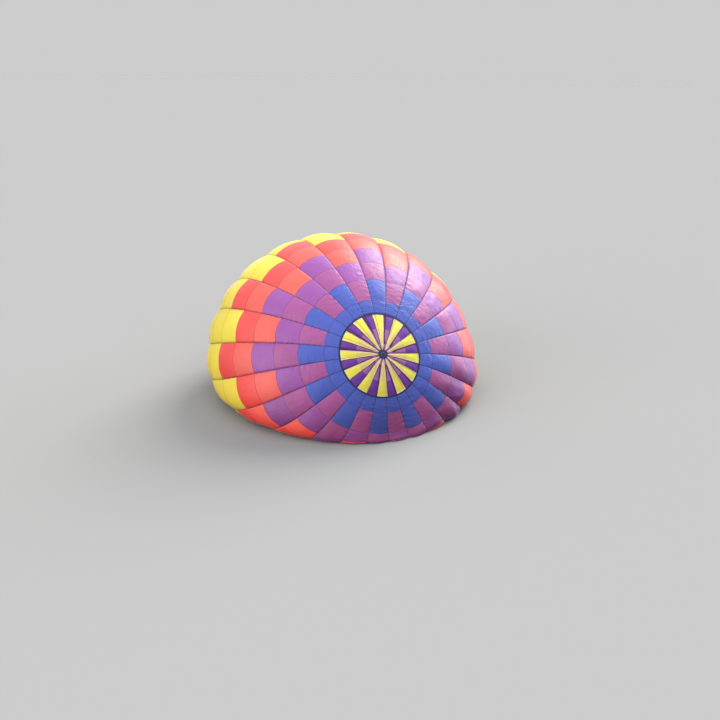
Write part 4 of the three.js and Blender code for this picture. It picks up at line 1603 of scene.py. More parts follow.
@dataclass
class ParachuteValve:
    """The round valve that closes the vent from inside, of wedges in two colours.

    Attributes:
        shape: The envelope's smooth face.
        paths: Sweeps the tapes.
        drop: Depth of its outer face below that face.
        lap: How far it reaches under the gores.
        turn: How far the whole valve has turned from the tapes, in degrees.
        skew: How much further it has turned on two sides, and less on the other two.
        skew_place: Angle round the axis where it has turned furthest.
        rim_pull: Its slide at the vent's edge, across and up.
        pale_to: Share of the vent's radius inside which the cloth is pale.
        bulge: Height of the puff between two tapes.
        wedge_end: Length at which the yellow wedges end.
        bindings_meet: Distance from the crown at which a wedge's two bindings meet.
        seam_shade_widths: Width of the dark strip on a wedge's two sides: its seam, dark with painted shade.
        glint_tab: Width and length of the white tabs at the wedges' corners, painted highlights for the
            glints there.
    """

    shape: EnvelopeShape
    paths: Paths
    drop: float = 0.0106
    lap: float = 0.297
    turn: float = 2.2
    skew: float = 1.4
    skew_place: float = math.radians(-26)
    rim_pull: tuple[float, float] = (-0.045, -0.035)
    pale_to: float = 0.615
    strips: int = 8
    rings: int = 34
    bulge: float = 0.03
    wedge_end: float = 2.4
    bindings_meet: float = 0.4
    thickness: float = 0.004
    binding_width: float = 0.05
    seam_shade_widths: tuple[float, float] = (0.1, 0.055)
    glint_tab: tuple[float, float] = (0.062, 0.075)

    SIDE_TINT = (1.0, 0.72, 0.36)
    END_TINT = (1.0, 0.93, 0.5)
    HUB_TINT = (1.0, 0.72, 0.56)

    def turned(self, number: np.ndarray) -> np.ndarray:
        """Returns where the wedges' lines lie round the axis."""
        phi = self.shape.tape_angle(number)
        return phi - np.radians(self.turn + self.skew * np.cos(2 * (phi - self.skew_place)))

    def face(self, length: np.ndarray, number: np.ndarray, lift: float = 0.0) -> np.ndarray:
        """Finds points on the valve's outer face.

        Args:
            length: Distance from the crown along the cloth.
            number: Number of the wedge, with fractions across it.
            lift: Height above the face.

        Returns:
            Points in metres.
        """
        shape = self.shape
        length, number = np.broadcast_arrays(length, number)
        length, phi = shape.pulled(length, self.turned(number), self.rim_pull)
        share = np.mod((shape.first_tape - math.pi / 2 - phi) * shape.gores / TURN, 1.0)
        across = 4 * share * (1 - share)
        puff = np.where(length > shape.vent_edge, shape.puff * across, 0.0)
        inner = smoothstep((shape.vent_edge - 0.05 - length) / 0.4) * smoothstep(length / 0.8)
        height = self.bulge * across * inner - self.drop + lift
        normals = shape.normals(np.maximum(length, 0.06), phi)
        return shape.points(length, phi, puff) + normals * height[..., None]

    def cloth(self) -> Object:
        """Makes the valve's cloth."""
        pale = self.pale_to * self.shape.vent_edge
        rings = np.unique(np.concatenate([
            np.linspace(0.0005, pale, 2 * self.rings // 3),
            np.linspace(pale, self.shape.vent_edge + self.lap, self.rings // 2),
        ]))
        numbers = np.arange(self.shape.gores * self.strips) / self.strips
        length, number = np.meshgrid(rings, numbers, indexing="ij")
        wedge = (np.floor(numbers).astype(int) % 2)[None, :] * 2
        angle = self.shape.tape_angle(number)
        share = np.mod(number, 1.0)
        sheet = Sheet(
            points=self.face(length, number),
            flat=np.stack([length * np.sin(angle), length * np.cos(angle)], -1),
            closed=True,
            paint=wedge + (rings[:-1] < pale - 1e-6)[:, None],
            # hem darkens the wedges' edges as painted shade, and places the puckers there.
            hem=np.exp(-np.minimum(share, 1 - share) * length * 0.26 / 0.05) * 0.6,
        )
        cloths = (Cloths.WEDGE_YELLOW, Cloths.WEDGE_PALE, Cloths.WEDGE_PURPLE, Cloths.WEDGE_MAUVE)
        obj = sheet.build("parachute_cloth", cloths)
        weld(obj)
        return thicken(obj, self.thickness)

    def line(
        self, length: np.ndarray, number: np.ndarray, lift: float, tint: Color = (0.0, 0.0, 0.0)
    ) -> Line:
        """Returns a line on the valve's face, with the way up and a colour."""
        length, number = np.broadcast_arrays(length, number)
        ups = self.shape.normals(length, self.turned(number))
        return Line(self.face(length, number, lift), ups, tint=tint)

    def beside(self, lengths: np.ndarray, wedge: int, side: int, aside: float) -> np.ndarray:
        """Returns the numbers along a wedge's side, 0 or 1, at a distance into the wedge."""
        return wedge + side + (1 - 2 * side) * aside / (lengths * TURN / self.shape.gores)

    def dress(self) -> None:
        """Sews the bindings, the dark seam strips in painted shade, and the white corner tabs painted as
        glints, along the yellow wedges.
        """
        half = self.binding_width / 2
        lengths = np.linspace(self.bindings_meet, self.wedge_end, 30)
        outer = np.linspace(0.62, self.wedge_end + 0.04, 26)
        hub = np.linspace(0.25, self.bindings_meet + 0.06, 6)
        corner = np.linspace(self.wedge_end - self.glint_tab[1], self.wedge_end, 3)
        bindings, glint_tabs = [], []
        seam_shades: tuple[list[Line], list[Line]] = ([], [])
        for wedge in range(0, self.shape.gores, 2):
            for side in (0, 1):
                edge = self.beside(lengths, wedge, side, half)
                bindings.append(self.line(lengths, edge, 0.0018, self.SIDE_TINT))
                # The dark strip beside each binding: the seam, dark with painted shade.
                aside = -self.seam_shade_widths[side] / 2 - 0.002
                seam_shades[side].append(self.line(outer, self.beside(outer, wedge, side, aside), 0.0014))
                # A white tab at each corner of the wedge: a painted highlight.
                glint_tabs.append(self.line(corner, self.beside(corner, wedge, side, self.glint_tab[0] / 2), 0.0046))
            bindings.append(self.line(hub, np.full_like(hub, wedge + 0.5), 0.0018, self.HUB_TINT))
            arc = np.linspace(wedge + 0.01, wedge + 0.99, 11)
            bindings.append(self.line(np.full_like(arc, self.wedge_end - half), arc, 0.0032, self.END_TINT))
        for name, lines, width, thickness, finish in (
            ("wedge_bindings", bindings, self.binding_width, 0.0016, Finishes.BINDING),
            ("wedge_seam_shades_broad", seam_shades[0], self.seam_shade_widths[0], 0.0012, Finishes.WEDGE_SEAM_SHADE),
            ("wedge_seam_shades", seam_shades[1], self.seam_shade_widths[1], 0.0012, Finishes.WEDGE_SEAM_SHADE),
            ("wedge_glint_tabs", glint_tabs, self.glint_tab[0], 0.0012, Finishes.GLINT_TAB),
        ):
            seat(self.paths.ribbon(name, lines, width, thickness, finish), Slot.WEBBING, body=Body.PARACHUTE)

    def make(self) -> None:
        """Makes the valve and seats it in the frame."""
        cloth = self.cloth()
        seat(cloth, Slot.YELLOW, "parachute_valve", body=Body.PARACHUTE)
        across = 2 * (self.shape.vent_edge + self.lap)
        self.dress()


@dataclass
class Crown:
    """The ring at the crown, its navy cover, and the tapes that cross the vent.

    Attributes:
        shape: The envelope's smooth face.
        paths: Sweeps the tapes and the ring.
        cover_radius: Radius of the round cover.
        ring_radius: Radius of the ring, to the middle of its tube.
        ring_tube: Radius of its tube.
        ring_lift: Height of the ring over the face.
        broad: Width of the dark tapes beside the yellow wedges.
        fine: Width of the olive tapes that lie over them.
    """

    shape: EnvelopeShape
    paths: Paths
    cover_radius: float = 0.285
    ring_radius: float = 0.118
    ring_tube: float = 0.011
    ring_lift: float = 0.022
    broad: float = 0.05
    fine: float = 0.02

    DARK_TINT = (0.07, 0.01, 0.03)
    OLIVE_TINT = (0.42, 0.33, 0.05)
    # The tapes' ends on the gores: the blue cloth darkened as painted shade, like the seams there.
    BLUE_SEAM_SHADE = (0.03, 0.05, 0.23)

    def line(
        self, length: np.ndarray, number: np.ndarray | float, lift: np.ndarray | float,
        closed: bool = False, tint: Color = (0.0, 0.0, 0.0),
    ) -> Line:
        """Returns a line at a height over the smooth face, slid as the crown is pulled."""
        points, ups = self.place(length, number, lift)
        return Line(points, ups, closed, tint)

    def place(
        self, length: np.ndarray, number: np.ndarray | float, lift: np.ndarray | float
    ) -> tuple[np.ndarray, np.ndarray]:
        """Returns points at a height over the smooth face, and the way up at each."""
        length, number = np.broadcast_arrays(np.asarray(length, float), np.asarray(number, float))
        length, phi = self.shape.pulled(length, self.shape.tape_angle(number))
        ups = self.shape.normals(np.maximum(length, 0.06), phi)
        return self.shape.points(length, phi) + ups * np.broadcast_to(lift, length.shape)[..., None], ups

    def tapes(self) -> None:
        """Lays the tapes over the valve, in the blue seams' painted shade where they reach onto the gores."""
        edge = self.shape.vent_edge
        inside, outside = np.linspace(0.16, edge - 0.01, 34), np.array([edge - 0.01, edge + 0.1, edge + 0.25])
        for name, first, tint, width in (
            ("crown_tapes", 0, self.DARK_TINT, self.broad),
            ("crown_tapes_fine", 1, self.OLIVE_TINT, self.fine),
        ):
            numbers = range(first, self.shape.gores, 2)
            lines = [self.line(inside, number, 0.003, tint=tint) for number in numbers]
            lines += [self.line(outside, number, 0.003, tint=self.BLUE_SEAM_SHADE) for number in numbers]
            piece = self.paths.ribbon(name, lines, width, 0.003, Finishes.CROWN_TAPE)
            seat(piece, Slot.WEBBING, "crown_ring_and_tapes")

    def make(self) -> None:
        """Makes the crown's pieces and seats them in the frame."""
        self.tapes()
        around = np.arange(0, self.shape.gores, 0.25)
        length, number = np.meshgrid(np.linspace(0.0005, self.cover_radius, 9), around, indexing="ij")
        angle = self.shape.tape_angle(number)
        ripple = 0.0015 * np.cos(TURN * number) * length / self.cover_radius
        points, _ = self.place(length, number, 0.0085 + ripple)
        flat = np.stack([length * np.sin(angle), length * np.cos(angle)], -1)
        cover = Sheet(points, flat, closed=True).build("crown_cover", [Cloths.NAVY])
        weld(cover)
        seat(thicken(cover, 0.003), Slot.BLUE)
        hem = self.line(np.full(96, self.cover_radius - 0.012), around, 0.0095, True)
        seat(self.paths.ribbon("crown_cover_binding", [hem], 0.022, 0.0016, Finishes.RIM_TAPE), Slot.WEBBING)

        ring = self.line(np.full(96, self.ring_radius), around, self.ring_lift, True)
        seat(self.paths.rod("crown_ring", [ring], self.ring_tube, Finishes.ALLOY, 16), Slot.STEEL)
        turns = np.linspace(math.radians(-40), math.radians(220), 14)
        reach = self.ring_tube + 0.003
        loops = []
        for number in range(self.shape.gores):
            around_ring = self.ring_radius + reach * np.cos(turns)
            loop = self.line(around_ring, number, self.ring_lift + reach * np.sin(turns))
            centre = self.line(np.array([self.ring_radius]), number, self.ring_lift).points
            loop.ups = unit(loop.points - centre)
            loops.append(loop)
        seat(self.paths.ribbon("ring_loops", loops, 0.02, 0.0025, Finishes.RIM_TAPE), Slot.WEBBING)


# What the rig's parts share


def rounded(
    corners: Sequence[Sequence[float]], radius: float, closed: bool = False, steps: int = 6
) -> np.ndarray:
    """Rounds the corners of a run of straight pieces.

    Args:
        corners: Its corners in metres.
        radius: Length of each straight piece that a corner takes up.
        closed: True where the last corner leads back to the first.
        steps: Number of pieces in each rounded corner.

    Returns:
        The points of the run.
    """
    corners = np.array([tuple(corner) for corner in corners], float)
    last = len(corners) - 1
    share = np.linspace(0, 1, steps + 1)[:, None]
    parts = []
    for k, here in enumerate(corners):
        if not closed and k in (0, last):
            parts.append(corners[k : k + 1])
            continue
        start = here + unit(corners[k - 1] - here) * radius
        end = here + unit(corners[(k + 1) % (last + 1)] - here) * radius
        parts.append((1 - share) ** 2 * start + 2 * share * (1 - share) * here + share**2 * end)
    return np.concatenate(parts)


def circle(centre: Vector, axis: Vector, radius: float, count: int = 24) -> Line:
    """Returns a circle of points round an axis, with the way up outwards."""
    turn = UP.rotation_difference(axis.normalized())
    angles = [TURN * k / count for k in range(count)]
    ring = [centre + turn @ Vector((radius * math.cos(a), radius * math.sin(a), 0)) for a in angles]
    line = Line(ring, closed=True)
    line.ups = unit(line.points - np.array(centre))
    return line


@dataclass(frozen=True)
class Rig:
    """Sizes and places that the basket, burner and rigging share.

    The basket lies on its side, so its height is along X. All lengths are in metres.

    Attributes:
        centre: Height of the rig's centre line over the origin, on Z.
        floor: Place of the basket floor's lower face, on X.
        rim: Place of the basket rim's top.
        frame: Place of the load frame's middle.
        gap: Smallest distance between two parts.
    """

    centre: float = -3.765
    floor: float = -13.91
    rim: float = -12.81
    frame: float = -11.95
    frame_half: float = 0.42
    frame_tube: float = 0.019
    casting: float = 0.0285
    half_length: float = 0.65
    half_width: float = 0.575
    corner: float = 0.13
    wall: float = 0.038
    floor_thick: float = 0.018
    can_spacing: float = 0.3
    gap: float = 0.0003

    CORNERS = ((-1, -1), (1, -1), (1, 1), (-1, 1))

    def at(self, x: float, y: float = 0.0, z: float = 0.0) -> Vector:
        """Returns a point, its y and z measured from the centre line."""
        return Vector((x, y, self.centre + z))

    def frame_corner(self, side: int, up: int, x: float = 0.0) -> Vector:
        """Returns a corner of the load frame, x further towards the mouth."""
        return self.at(self.frame + x, side * self.frame_half, up * self.frame_half)

    def outline(self, count: int) -> tuple[np.ndarray, np.ndarray]:
        """Walks round the middle of the basket's wall.

        Args:
            count: Number of points.

        Returns:
            Points and outward directions, as y and z, from the middle of the +Y side.
        """
        inset = self.wall / 2
        radius = self.corner - inset
        half = np.array([self.half_length, self.half_width]) - radius - inset
        run = [half * (1, 0) + (radius, 0)]
        for quadrant in range(4):
            middle = math.radians(45 + 90 * quadrant)
            signs = np.sign([math.cos(middle), math.sin(middle)])
            for angle in np.radians(np.linspace(90 * quadrant, 90 * quadrant + 90, 19)):
                run.append(signs * half + radius * np.array([math.cos(angle), math.sin(angle)]))
        run = np.array([*run, run[0]])
        lengths = np.concatenate([[0], np.cumsum(np.linalg.norm(np.diff(run, axis=0), axis=1))])

        def read(where: np.ndarray) -> np.ndarray:
            """Returns the points at some lengths along the run."""
            return np.stack([np.interp(where % lengths[-1], lengths, values) for values in run.T], -1)

        places = np.arange(count) / count * lengths[-1]
        ahead = unit(read(places + 0.004) - read(places - 0.004))
        return read(places), np.stack([ahead[:, 1], -ahead[:, 0]], -1)

    def around(self, x: np.ndarray | float, out: np.ndarray | float, count: int = 0) -> np.ndarray:
        """Places points round the basket.

        Args:
            x: Place on X of each point, the last axis round the basket.
            out: Distance out from the wall's middle, alike.
            count: Number of points, where neither has an axis.

        Returns:
            Points, one axis more.
        """
        x, out, _ = np.broadcast_arrays(x, out, np.zeros(max(count, 1)))
        points, away = self.outline(x.shape[-1])
        flat = points + away * out[..., None]
        return np.concatenate([x[..., None], flat + (0, self.centre)], -1)


@dataclass
class Fitting:
    """A part of the rig.

    Attributes:
        rig: The rig's sizes.
        paths: The trees that sweep rods and tapes.
    """

    rig: Rig
    paths: Paths


# Mouth and rigging


@dataclass
class Mouth(Fitting):
    """Hem of the mouth, with a webbing loop round each wire's thimble."""

    envelope: Envelope
    width: float = 0.06
    thimble: float = 0.012

    @property
    def shape(self) -> EnvelopeShape:
        """The envelope's smooth face."""
        return self.envelope.shape

    @property
    def tapes(self) -> range:
        """Numbers of the load tapes that end in a wire."""
        return range(0, self.shape.gores, 2)

    def round_mouth(self, inset: float, lift: float) -> Line:
        """Returns a closed line round the mouth, at a distance from its edge and over the cloth."""
        shares = np.arange(8)[::-1] / 8 + 1 / 8
        lengths = np.full_like(shares, self.shape.mouth_edge - inset)
        numbers = list(reversed(range(self.shape.gores)))
        points = [self.envelope.face(lengths, number, shares, lift) for number in numbers]
        ups = [self.shape.normals(lengths, self.shape.tape_angle(number + shares)) for number in numbers]
        return Line(np.concatenate(points), np.concatenate(ups), closed=True)

    def thimble_place(self, number: int) -> tuple[np.ndarray, np.ndarray, np.ndarray]:
        """Returns a thimble's middle, the cloth's outward direction and the way out of the mouth."""
        phi = self.shape.tape_angle(number)
        edge = self.shape.points(self.shape.mouth_edge, phi)
        leaving = unit(edge - self.shape.points(self.shape.mouth_edge - self.width, phi))
        normal = self.shape.normals(np.array(self.shape.mouth_edge - 0.04), np.array(phi))
        return edge + normal * 0.0043 + leaving * (self.thimble + self.rig.gap), normal, leaving

    def loop(self, number: int) -> Line:
        """Returns a webbing loop: up the outside, round the thimble and back inside."""
        middle, normal, leaving = self.thimble_place(number)
        lengths = self.shape.mouth_edge - np.array([0.26, 0.2, 0.14, 0.08, 0.02])
        outside, inside = (
            self.envelope.face(lengths, number, np.zeros_like(lengths), lift) for lift in (0.0105, -0.0085)
        )
        turns = np.radians(np.linspace(80, -80, 9))[:, None]
        away = np.cos(turns) * leaving + np.sin(turns) * normal
        nose = middle + (self.thimble - 0.002) * away
        ups = [np.tile(normal, (5, 1)), away, np.tile(-normal, (5, 1))]
        return Line(np.concatenate([outside, nose, inside[::-1]]), np.concatenate(ups))

    def make(self) -> None:
        """Builds the hem, its stitches and the loops."""
        paths, middle = self.paths, [self.round_mouth(self.width / 2, 0.0045)]
        seat(paths.ribbon("mouth_hem", middle, self.width, 0.006, Finishes.HEM), Slot.WEBBING, "mouth_band")
        rows = [self.round_mouth(inset, 0.0078) for inset in (0.008, 0.052)]
        seat(paths.stitches("mouth_stitches", rows, 0.009, 0.0007, 0.016, Finishes.THREAD), Slot.WEBBING)
        loops = [self.loop(number) for number in self.tapes]
        seat(paths.ribbon("wire_loops", loops, 0.028, 0.0018, Finishes.STRAP), Slot.WEBBING)


@dataclass
class Rigging(Fitting):
    """Flying wires with their eyes, ferrules and karabiners."""

    mouth: Mouth
    karabiner: float = 0.026
    wire: float = 0.0028
    tube: float = 0.0045

    def hook(self, side: int, up: int) -> Vector:
        """Returns the middle of a karabiner."""
        return self.rig.frame_corner(side, up, self.rig.casting + self.karabiner + self.rig.gap)

    @staticmethod
    def eye(at: Vector, towards: Vector, spread: Vector, long: float, wide: float) -> Line:
        """Returns the drop-shaped loop at a wire's end.

        Args:
            at: Middle of the loop's round end.
            towards: The way along the wire.
            spread: The way across the loop.
            long: Length of the loop.
            wide: Its width.

        Returns:
            A closed line.
        """
        turns = np.radians(np.linspace(-115, 115, 12))
        nose = [at - towards * math.cos(a) * wide / 2 + spread * math.sin(a) * wide / 2 for a in turns]
        return Line([*nose, at + towards * long], closed=True)

    def make(self) -> None:
        """Builds the wires and what ends them."""
        wires, eyes, ferrules, links, sleeves = [], [], [], [], []
        for number in self.mouth.tapes:
            middle, normal, _ = (Vector(place) for place in self.mouth.thimble_place(number))
            angle = self.mouth.shape.tape_angle(number)
            hook = self.hook(1 if math.sin(angle) >= 0 else -1, 1 if math.cos(angle) >= 0 else -1)
            way = (hook - middle).normalized()
            near = hook - way * 0.034
            wires.append(Line([middle + way * 0.03, near - way * 0.03]))
            eyes.append(self.eye(middle, way, normal, 0.034, 0.016))
            eyes.append(self.eye(near + way * 0.018, -way, way.cross(normal).normalized(), 0.05, 0.018))
            ferrules += [Line([at, at + way * 0.03]) for at in (middle + way * 0.036, near - way * 0.066)]
        link_ends = mm((-30, 7), (-30, -7), (12, -21), (30, -12), (30, 12), (12, 21))
        gate_ends = mm((-12, 12.5), (6, 19))
        for side, up in Rig.CORNERS:
            hook, across = self.hook(side, up), Vector((0, -side, up)).normalized()
            link, gate = (
                [hook + AHEAD * x + across * y for x, y in ends] for ends in (link_ends, gate_ends)
            )
            links.append(Line(rounded(link, 0.007, closed=True), closed=True))
            sleeves.append(Line(gate))
        pieces = [
            self.paths.rod("wires", wires, self.wire, Finishes.WIRE, sides=8),
            self.paths.rod("eyes", eyes, self.wire * 0.9, Finishes.WIRE, sides=6),
            self.paths.rod("ferrules", ferrules, 0.0055, Finishes.STEEL, sides=12),
            self.paths.rod("karabiners", links, self.tube, Finishes.STEEL, sides=12),
            self.paths.rod("sleeves", sleeves, 0.0068, Finishes.ALLOY, sides=12),
        ]
        names = [f"flying_wires_{k + 1}" for k in range(len(Rig.CORNERS))]
        seat(join("flying_wires", pieces), Slot.STEEL, *names)


# Load frame, gimbal and burner


@dataclass
class LoadFrame(Fitting):
    """Square of steel tube with cast corners, eyes for the karabiners and two pivot bosses."""

    boss: float = 0.017
    bore: float = 0.0095
    reach: float = 0.026

    def corner(self, side: int, up: int) -> list[Object]:
        """Builds a cast corner with its two sockets and the eye."""
        rig = self.rig
        middle = rig.frame_corner(side, up)
        ball = [(rig.casting * math.sin(a), -rig.casting * math.cos(a)) for a in np.linspace(0, math.pi, 13)]
        pieces = [turned("casting", ball, middle, AHEAD, Finishes.ALLOY)]
        socket = mm((0, 0), (23.5, 0), (23.5, 52), (22, 56), (0, 56))
        for axis in (Vector((0, -side, 0)), Vector((0, 0, -up))):
            pieces.append(turned("socket", socket, middle, axis, Finishes.ALLOY))
            clamp = middle + axis * 0.04 - AHEAD * 0.024
            pieces.append(block("clamp", clamp, [0.018] * 3, 0.002, Finishes.ALLOY))
        ring = circle(rig.frame_corner(side, up, rig.casting + 0.004), Vector((0, side, -up)), 0.0105, 20)
        return [*pieces, self.paths.rod("eye", [ring], 0.0036, Finishes.STEEL, sides=10)]

    def make(self) -> None:
        """Builds the frame."""
        rig = self.rig
        corners = [rig.frame_corner(*corner) for corner in Rig.CORNERS]
        rails = [Line([start, end]) for start, end in zip(corners, corners[1:] + corners[:1])]
        pieces = [self.paths.rod("rails", rails, rig.frame_tube, Finishes.STEEL, sides=32)]
        for side, up in Rig.CORNERS:
            pieces += self.corner(side, up)
        far = rig.frame_tube + self.reach
        bore, boss, tube = self.bore, self.boss, rig.frame_tube
        boss_profile = [(bore, 0.012), (boss, 0.012), (boss, far - 0.002), (boss - 0.002, far), (bore, far)]
        sleeve = [(tube, -0.034), (0.0225, -0.034), (0.0225, 0.034), (tube, 0.034)]
        for side in (-1, 1):
            rail = rig.at(rig.frame, side * rig.frame_half)
            pieces.append(turned("boss", boss_profile, rail, Vector((0, -side, 0)), Finishes.STEEL))
            pieces.append(turned("rail_sleeve", sleeve, rail, UP, Finishes.STEEL))
        heads = [
            rig.frame_corner(side, up, -0.034) + Vector(aside)
            for side, up in Rig.CORNERS
            for aside in ((0, -side * 0.04, 0), (0, 0, -up * 0.04))
        ]
        pieces.append(self.paths.studs("clamp_bolts", heads, -AHEAD, 0.0055, 0.006, Finishes.STEEL))
        seat(join("load_frame_tubes", pieces), Slot.STEEL, "load_frame")


@dataclass
class Gimbal(Fitting):
    """Inner frame that tilts on pins in the load frame."""

    half_side: float = 0.25
    half_up: float = 0.33
    tube: float = 0.013
    pin: float = 0.009
    boss: float = 0.017
    bore: float = 0.0095

    def make(self) -> None:
        """Builds the frame, its pins and the burner's bosses."""
        rig, pin, steel = self.rig, self.pin, Finishes.STEEL
        corners = [rig.at(rig.frame, side * self.half_side, up * self.half_up) for side, up in Rig.CORNERS]
        frame = Line(rounded(corners, 0.028, closed=True), closed=True)
        pieces = [self.paths.rod("tube", [frame], self.tube, steel, sides=20)]
        tip = rig.frame_half - rig.frame_tube - self.half_side
        pin_profile = mm((0, 0), (16.5, 0), (16.5, 22))
        pin_profile += [(pin, 0.026), (pin, tip - 0.002), (0.0, tip - 0.001)]
        washer = [(pin, 0.1), (0.0155, 0.1), (0.0155, 0.103), (pin, 0.103)]
        for side in (-1, 1):
            rail, way = rig.at(rig.frame, side * self.half_side), Vector((0, side, 0))
            pieces.append(turned("pin", pin_profile, rail, way, steel, sides=24))
            pieces.append(turned("washer", washer, rail, way, steel, sides=24))
        bore, boss, deep = self.bore, self.boss, self.tube + self.boss
        profile = [(bore, -0.013), (boss, -0.013), (boss, deep - 0.0015), (boss - 0.0015, deep), (bore, deep)]
        for up in (-1, 1):
            rail = rig.at(rig.frame, 0, up * self.half_up)
            pieces.append(turned("boss", profile, rail, Vector((0, 0, -up)), steel, sides=24))
        seat(join("gimbal_tubes", pieces), Slot.STEEL, "gimbal_frame", body=Body.GIMBAL)


@dataclass
class Burner(Fitting):
    """Double burner: crossbar, valve bodies with levers, and a can with its coil and jets for each."""

    body: tuple[float, float, float] = (0.09, 0.11, 0.09)
    can_ahead: float = 0.045
    can_radius: float = 0.118
    can_base: float = 0.084
    can_length: float = 0.42
    shoulder: float = 0.07
    wall: float = 0.003
    coil_radius: float = 0.092
    coil_tube: float = 0.0078
    coil_from: float = 0.15
    coil_to: float = 0.19
    coil_turns: float = 2.5
    stem_side: float = 0.069
    bar_tip: float = 0.327
    bar_half: float = 0.285
    bar_radius: float = 0.02
    pin: float = 0.009

    PLUG = mm((0, 0), (16, 0), (16, 5), (11.5, 5.5), (11.5, 13), (10, 14.5), (0, 14.5))
    STUB = mm((0, -2), (12.5, -2), (12.5, 14), (8.5, 16), (8.5, 30), (10, 32), (10, 36), (0, 36))
    DIAL = mm(
        (0, 0), (8, 0), (8, 10), (23, 12), (24.5, 16), (24.5, 28), (22.5, 30), (21, 28.5), (0, 28.5)
    )
    PILOT = mm((0, 0), (9, 0), (9, 50), (13.5, 56), (13.5, 75), (11.5, 75), (11.5, 58), (0, 55))

    def valve(self, z: float) -> list[Object]:
        """Builds one valve body's brass parts."""
        middle, brass = self.rig.at(self.rig.frame, 0, z), Finishes.BRASS
        deep, wide, _ = self.body
        pieces = [block("valve_body", middle, self.body, 0.006, brass)]
        for y in (-1, 1):
            face = middle + Vector((0.012, y * wide / 2, 0))
            pieces.append(turned("plug", self.PLUG, face, Vector((0, y, 0)), brass, sides=6))
        for y in (-0.03, 0.0):
            back = middle + Vector((-deep / 2, y, -0.024))
            pieces.append(turned("hose_stub", self.STUB, back, -AHEAD, brass, sides=20))
        pieces.append(block("lever_block", middle + Vector((-0.05, 0.02, 0)), [0.04] * 3, 0.004, brass))
        face = middle + Vector((0.01, -wide / 2, 0.022))
        return [*pieces, turned("gauge", self.DIAL, face, Vector((0, -1, 0)), brass)]

    def lever(self, z: float) -> Object:
        """Builds one blast valve's lever with its ribbed grip."""
        radius = 0.0115
        profile = mm((0, 0), (6, 0), (6, 14))
        for rib in range(12):
            for less, along in ((0.0018, 0), (0, 0.002), (0, 0.006), (0.0018, 0.0078)):
                profile.append((radius - less, 0.016 + rib * 0.0083 + along))
        profile += [(radius - 0.001, 0.118), (0.0, 0.12)]
        start = self.rig.at(self.rig.frame - 0.06, 0.03, z)
        return turned("lever", profile, start, Vector((0, 1, 0)), Finishes.GRIP, sides=20)

    def can(self, z: float, name: str) -> None:
        """Builds one can: a thin shell with a rolled rim and air holes in its shoulder."""
        back = self.rig.at(self.rig.frame + self.can_ahead + self.rig.gap, 0, z)
        radius, wall, length, base = self.can_radius, self.wall, self.can_length, self.can_base
        skin, rim, shoulder = radius - 0.0003, 0.0035, self.shoulder
        bead = [
            (radius - rim + rim * math.sin(a), length - rim + rim * math.cos(a))
            for a in np.radians(np.linspace(-60, 60, 7))
        ]
        ridges = [
            (skin if aside else radius - 0.0022, place + aside)
            for place in (0.215, 0.31)
            for aside in (-0.006, 0, 0.006)
        ]
        profile = [
            (0.0, 0.0), (base - 0.004, 0.0), (base, 0.002), (radius - 0.002, shoulder - 0.003),
            (radius, shoulder + 0.002), (skin, shoulder + 0.012), *ridges, (skin, length - 0.012), *bead,
            (radius - wall, length - 0.004), (radius - wall, shoulder + wall), (base - wall, wall + 0.001),
            (0.0, wall),
        ]
        shell = turned(name, profile, back, AHEAD, Finishes.HEATED, sides=72, degrees=50.0)
        drills = []
        for row, count, size in ((0.045, 18, 0.0095), (0.105, 24, 0.0075)):
            drill = [(0.0, 0.0), (size, 0.0), (size, 0.06), (0.0, 0.06)]
            for k in range(count):
                angle = TURN * (k + 0.5 * (row > 0.1)) / count
                away = Vector((0, math.cos(angle), math.sin(angle)))
                start = back + AHEAD * row + away * 0.075
                drills.append(turned("drill", drill, start, away, Finishes.HEATED, sides=14))
        seat(cut(shell, drills), Slot.STEEL, name.replace("_shell", ""), body=Body.BURNER)

    def coil(self, z: float, name: str) -> None:
        """Builds one coil with its stems, and the jet ring with its pilot light."""
        rig, rod = self.rig, self.paths.rod
        angles = np.linspace(0, TURN * self.coil_turns, int(40 * self.coil_turns) + 1)
        back, height = rig.frame + self.can_ahead, rig.centre + z
        x = back + self.coil_from + angles / angles[-1] * (self.coil_to - self.coil_from)
        around = self.coil_radius * np.stack([np.cos(angles), np.sin(angles)], -1)
        helix = np.concatenate([x[:, None], around + (0, height)], -1)
        foot = back + self.wall + 0.0008
        stems = []
        for end, side, short in ((helix[0], 1, 0.045), (helix[-1], -1, 0.085)):
            beside = side * self.stem_side
            run = [
                (foot, beside, height), (foot + 0.04, beside, height),
                (end[0] - short, side * self.coil_radius * 0.99, height), (end[0] - 0.004, end[1], end[2]),
            ]
            stems.append(Line(rounded(run, 0.012)))
        ring, jets = (
            circle(rig.at(foot + ahead, 0, z), AHEAD, 0.046, count)
            for ahead, count in ((0.02, 32), (0.029, 16))
        )
        feeds = [Line([(foot, y, height), (foot + 0.02, y, height)]) for y in (-0.046, 0.046)]
        pieces = [
            rod("helix", [Line(helix)], self.coil_tube, Finishes.HEATED, sides=14),
            rod("stems", stems, 0.0058, Finishes.HEATED, sides=12),
            rod("jet_ring", [ring], 0.006, Finishes.STEEL, sides=12),
            self.paths.studs("jets", jets.points, AHEAD, 0.0034, 0.012, Finishes.BRASS, sides=8),
            rod("jet_feeds", feeds, 0.0055, Finishes.STEEL, sides=10),
            turned("pilot", self.PILOT, rig.at(foot, 0, z), AHEAD, Finishes.STEEL, sides=20),
        ]
        seat(join(name, pieces), Slot.STEEL, name.replace("_tube", ""), body=Body.BURNER)

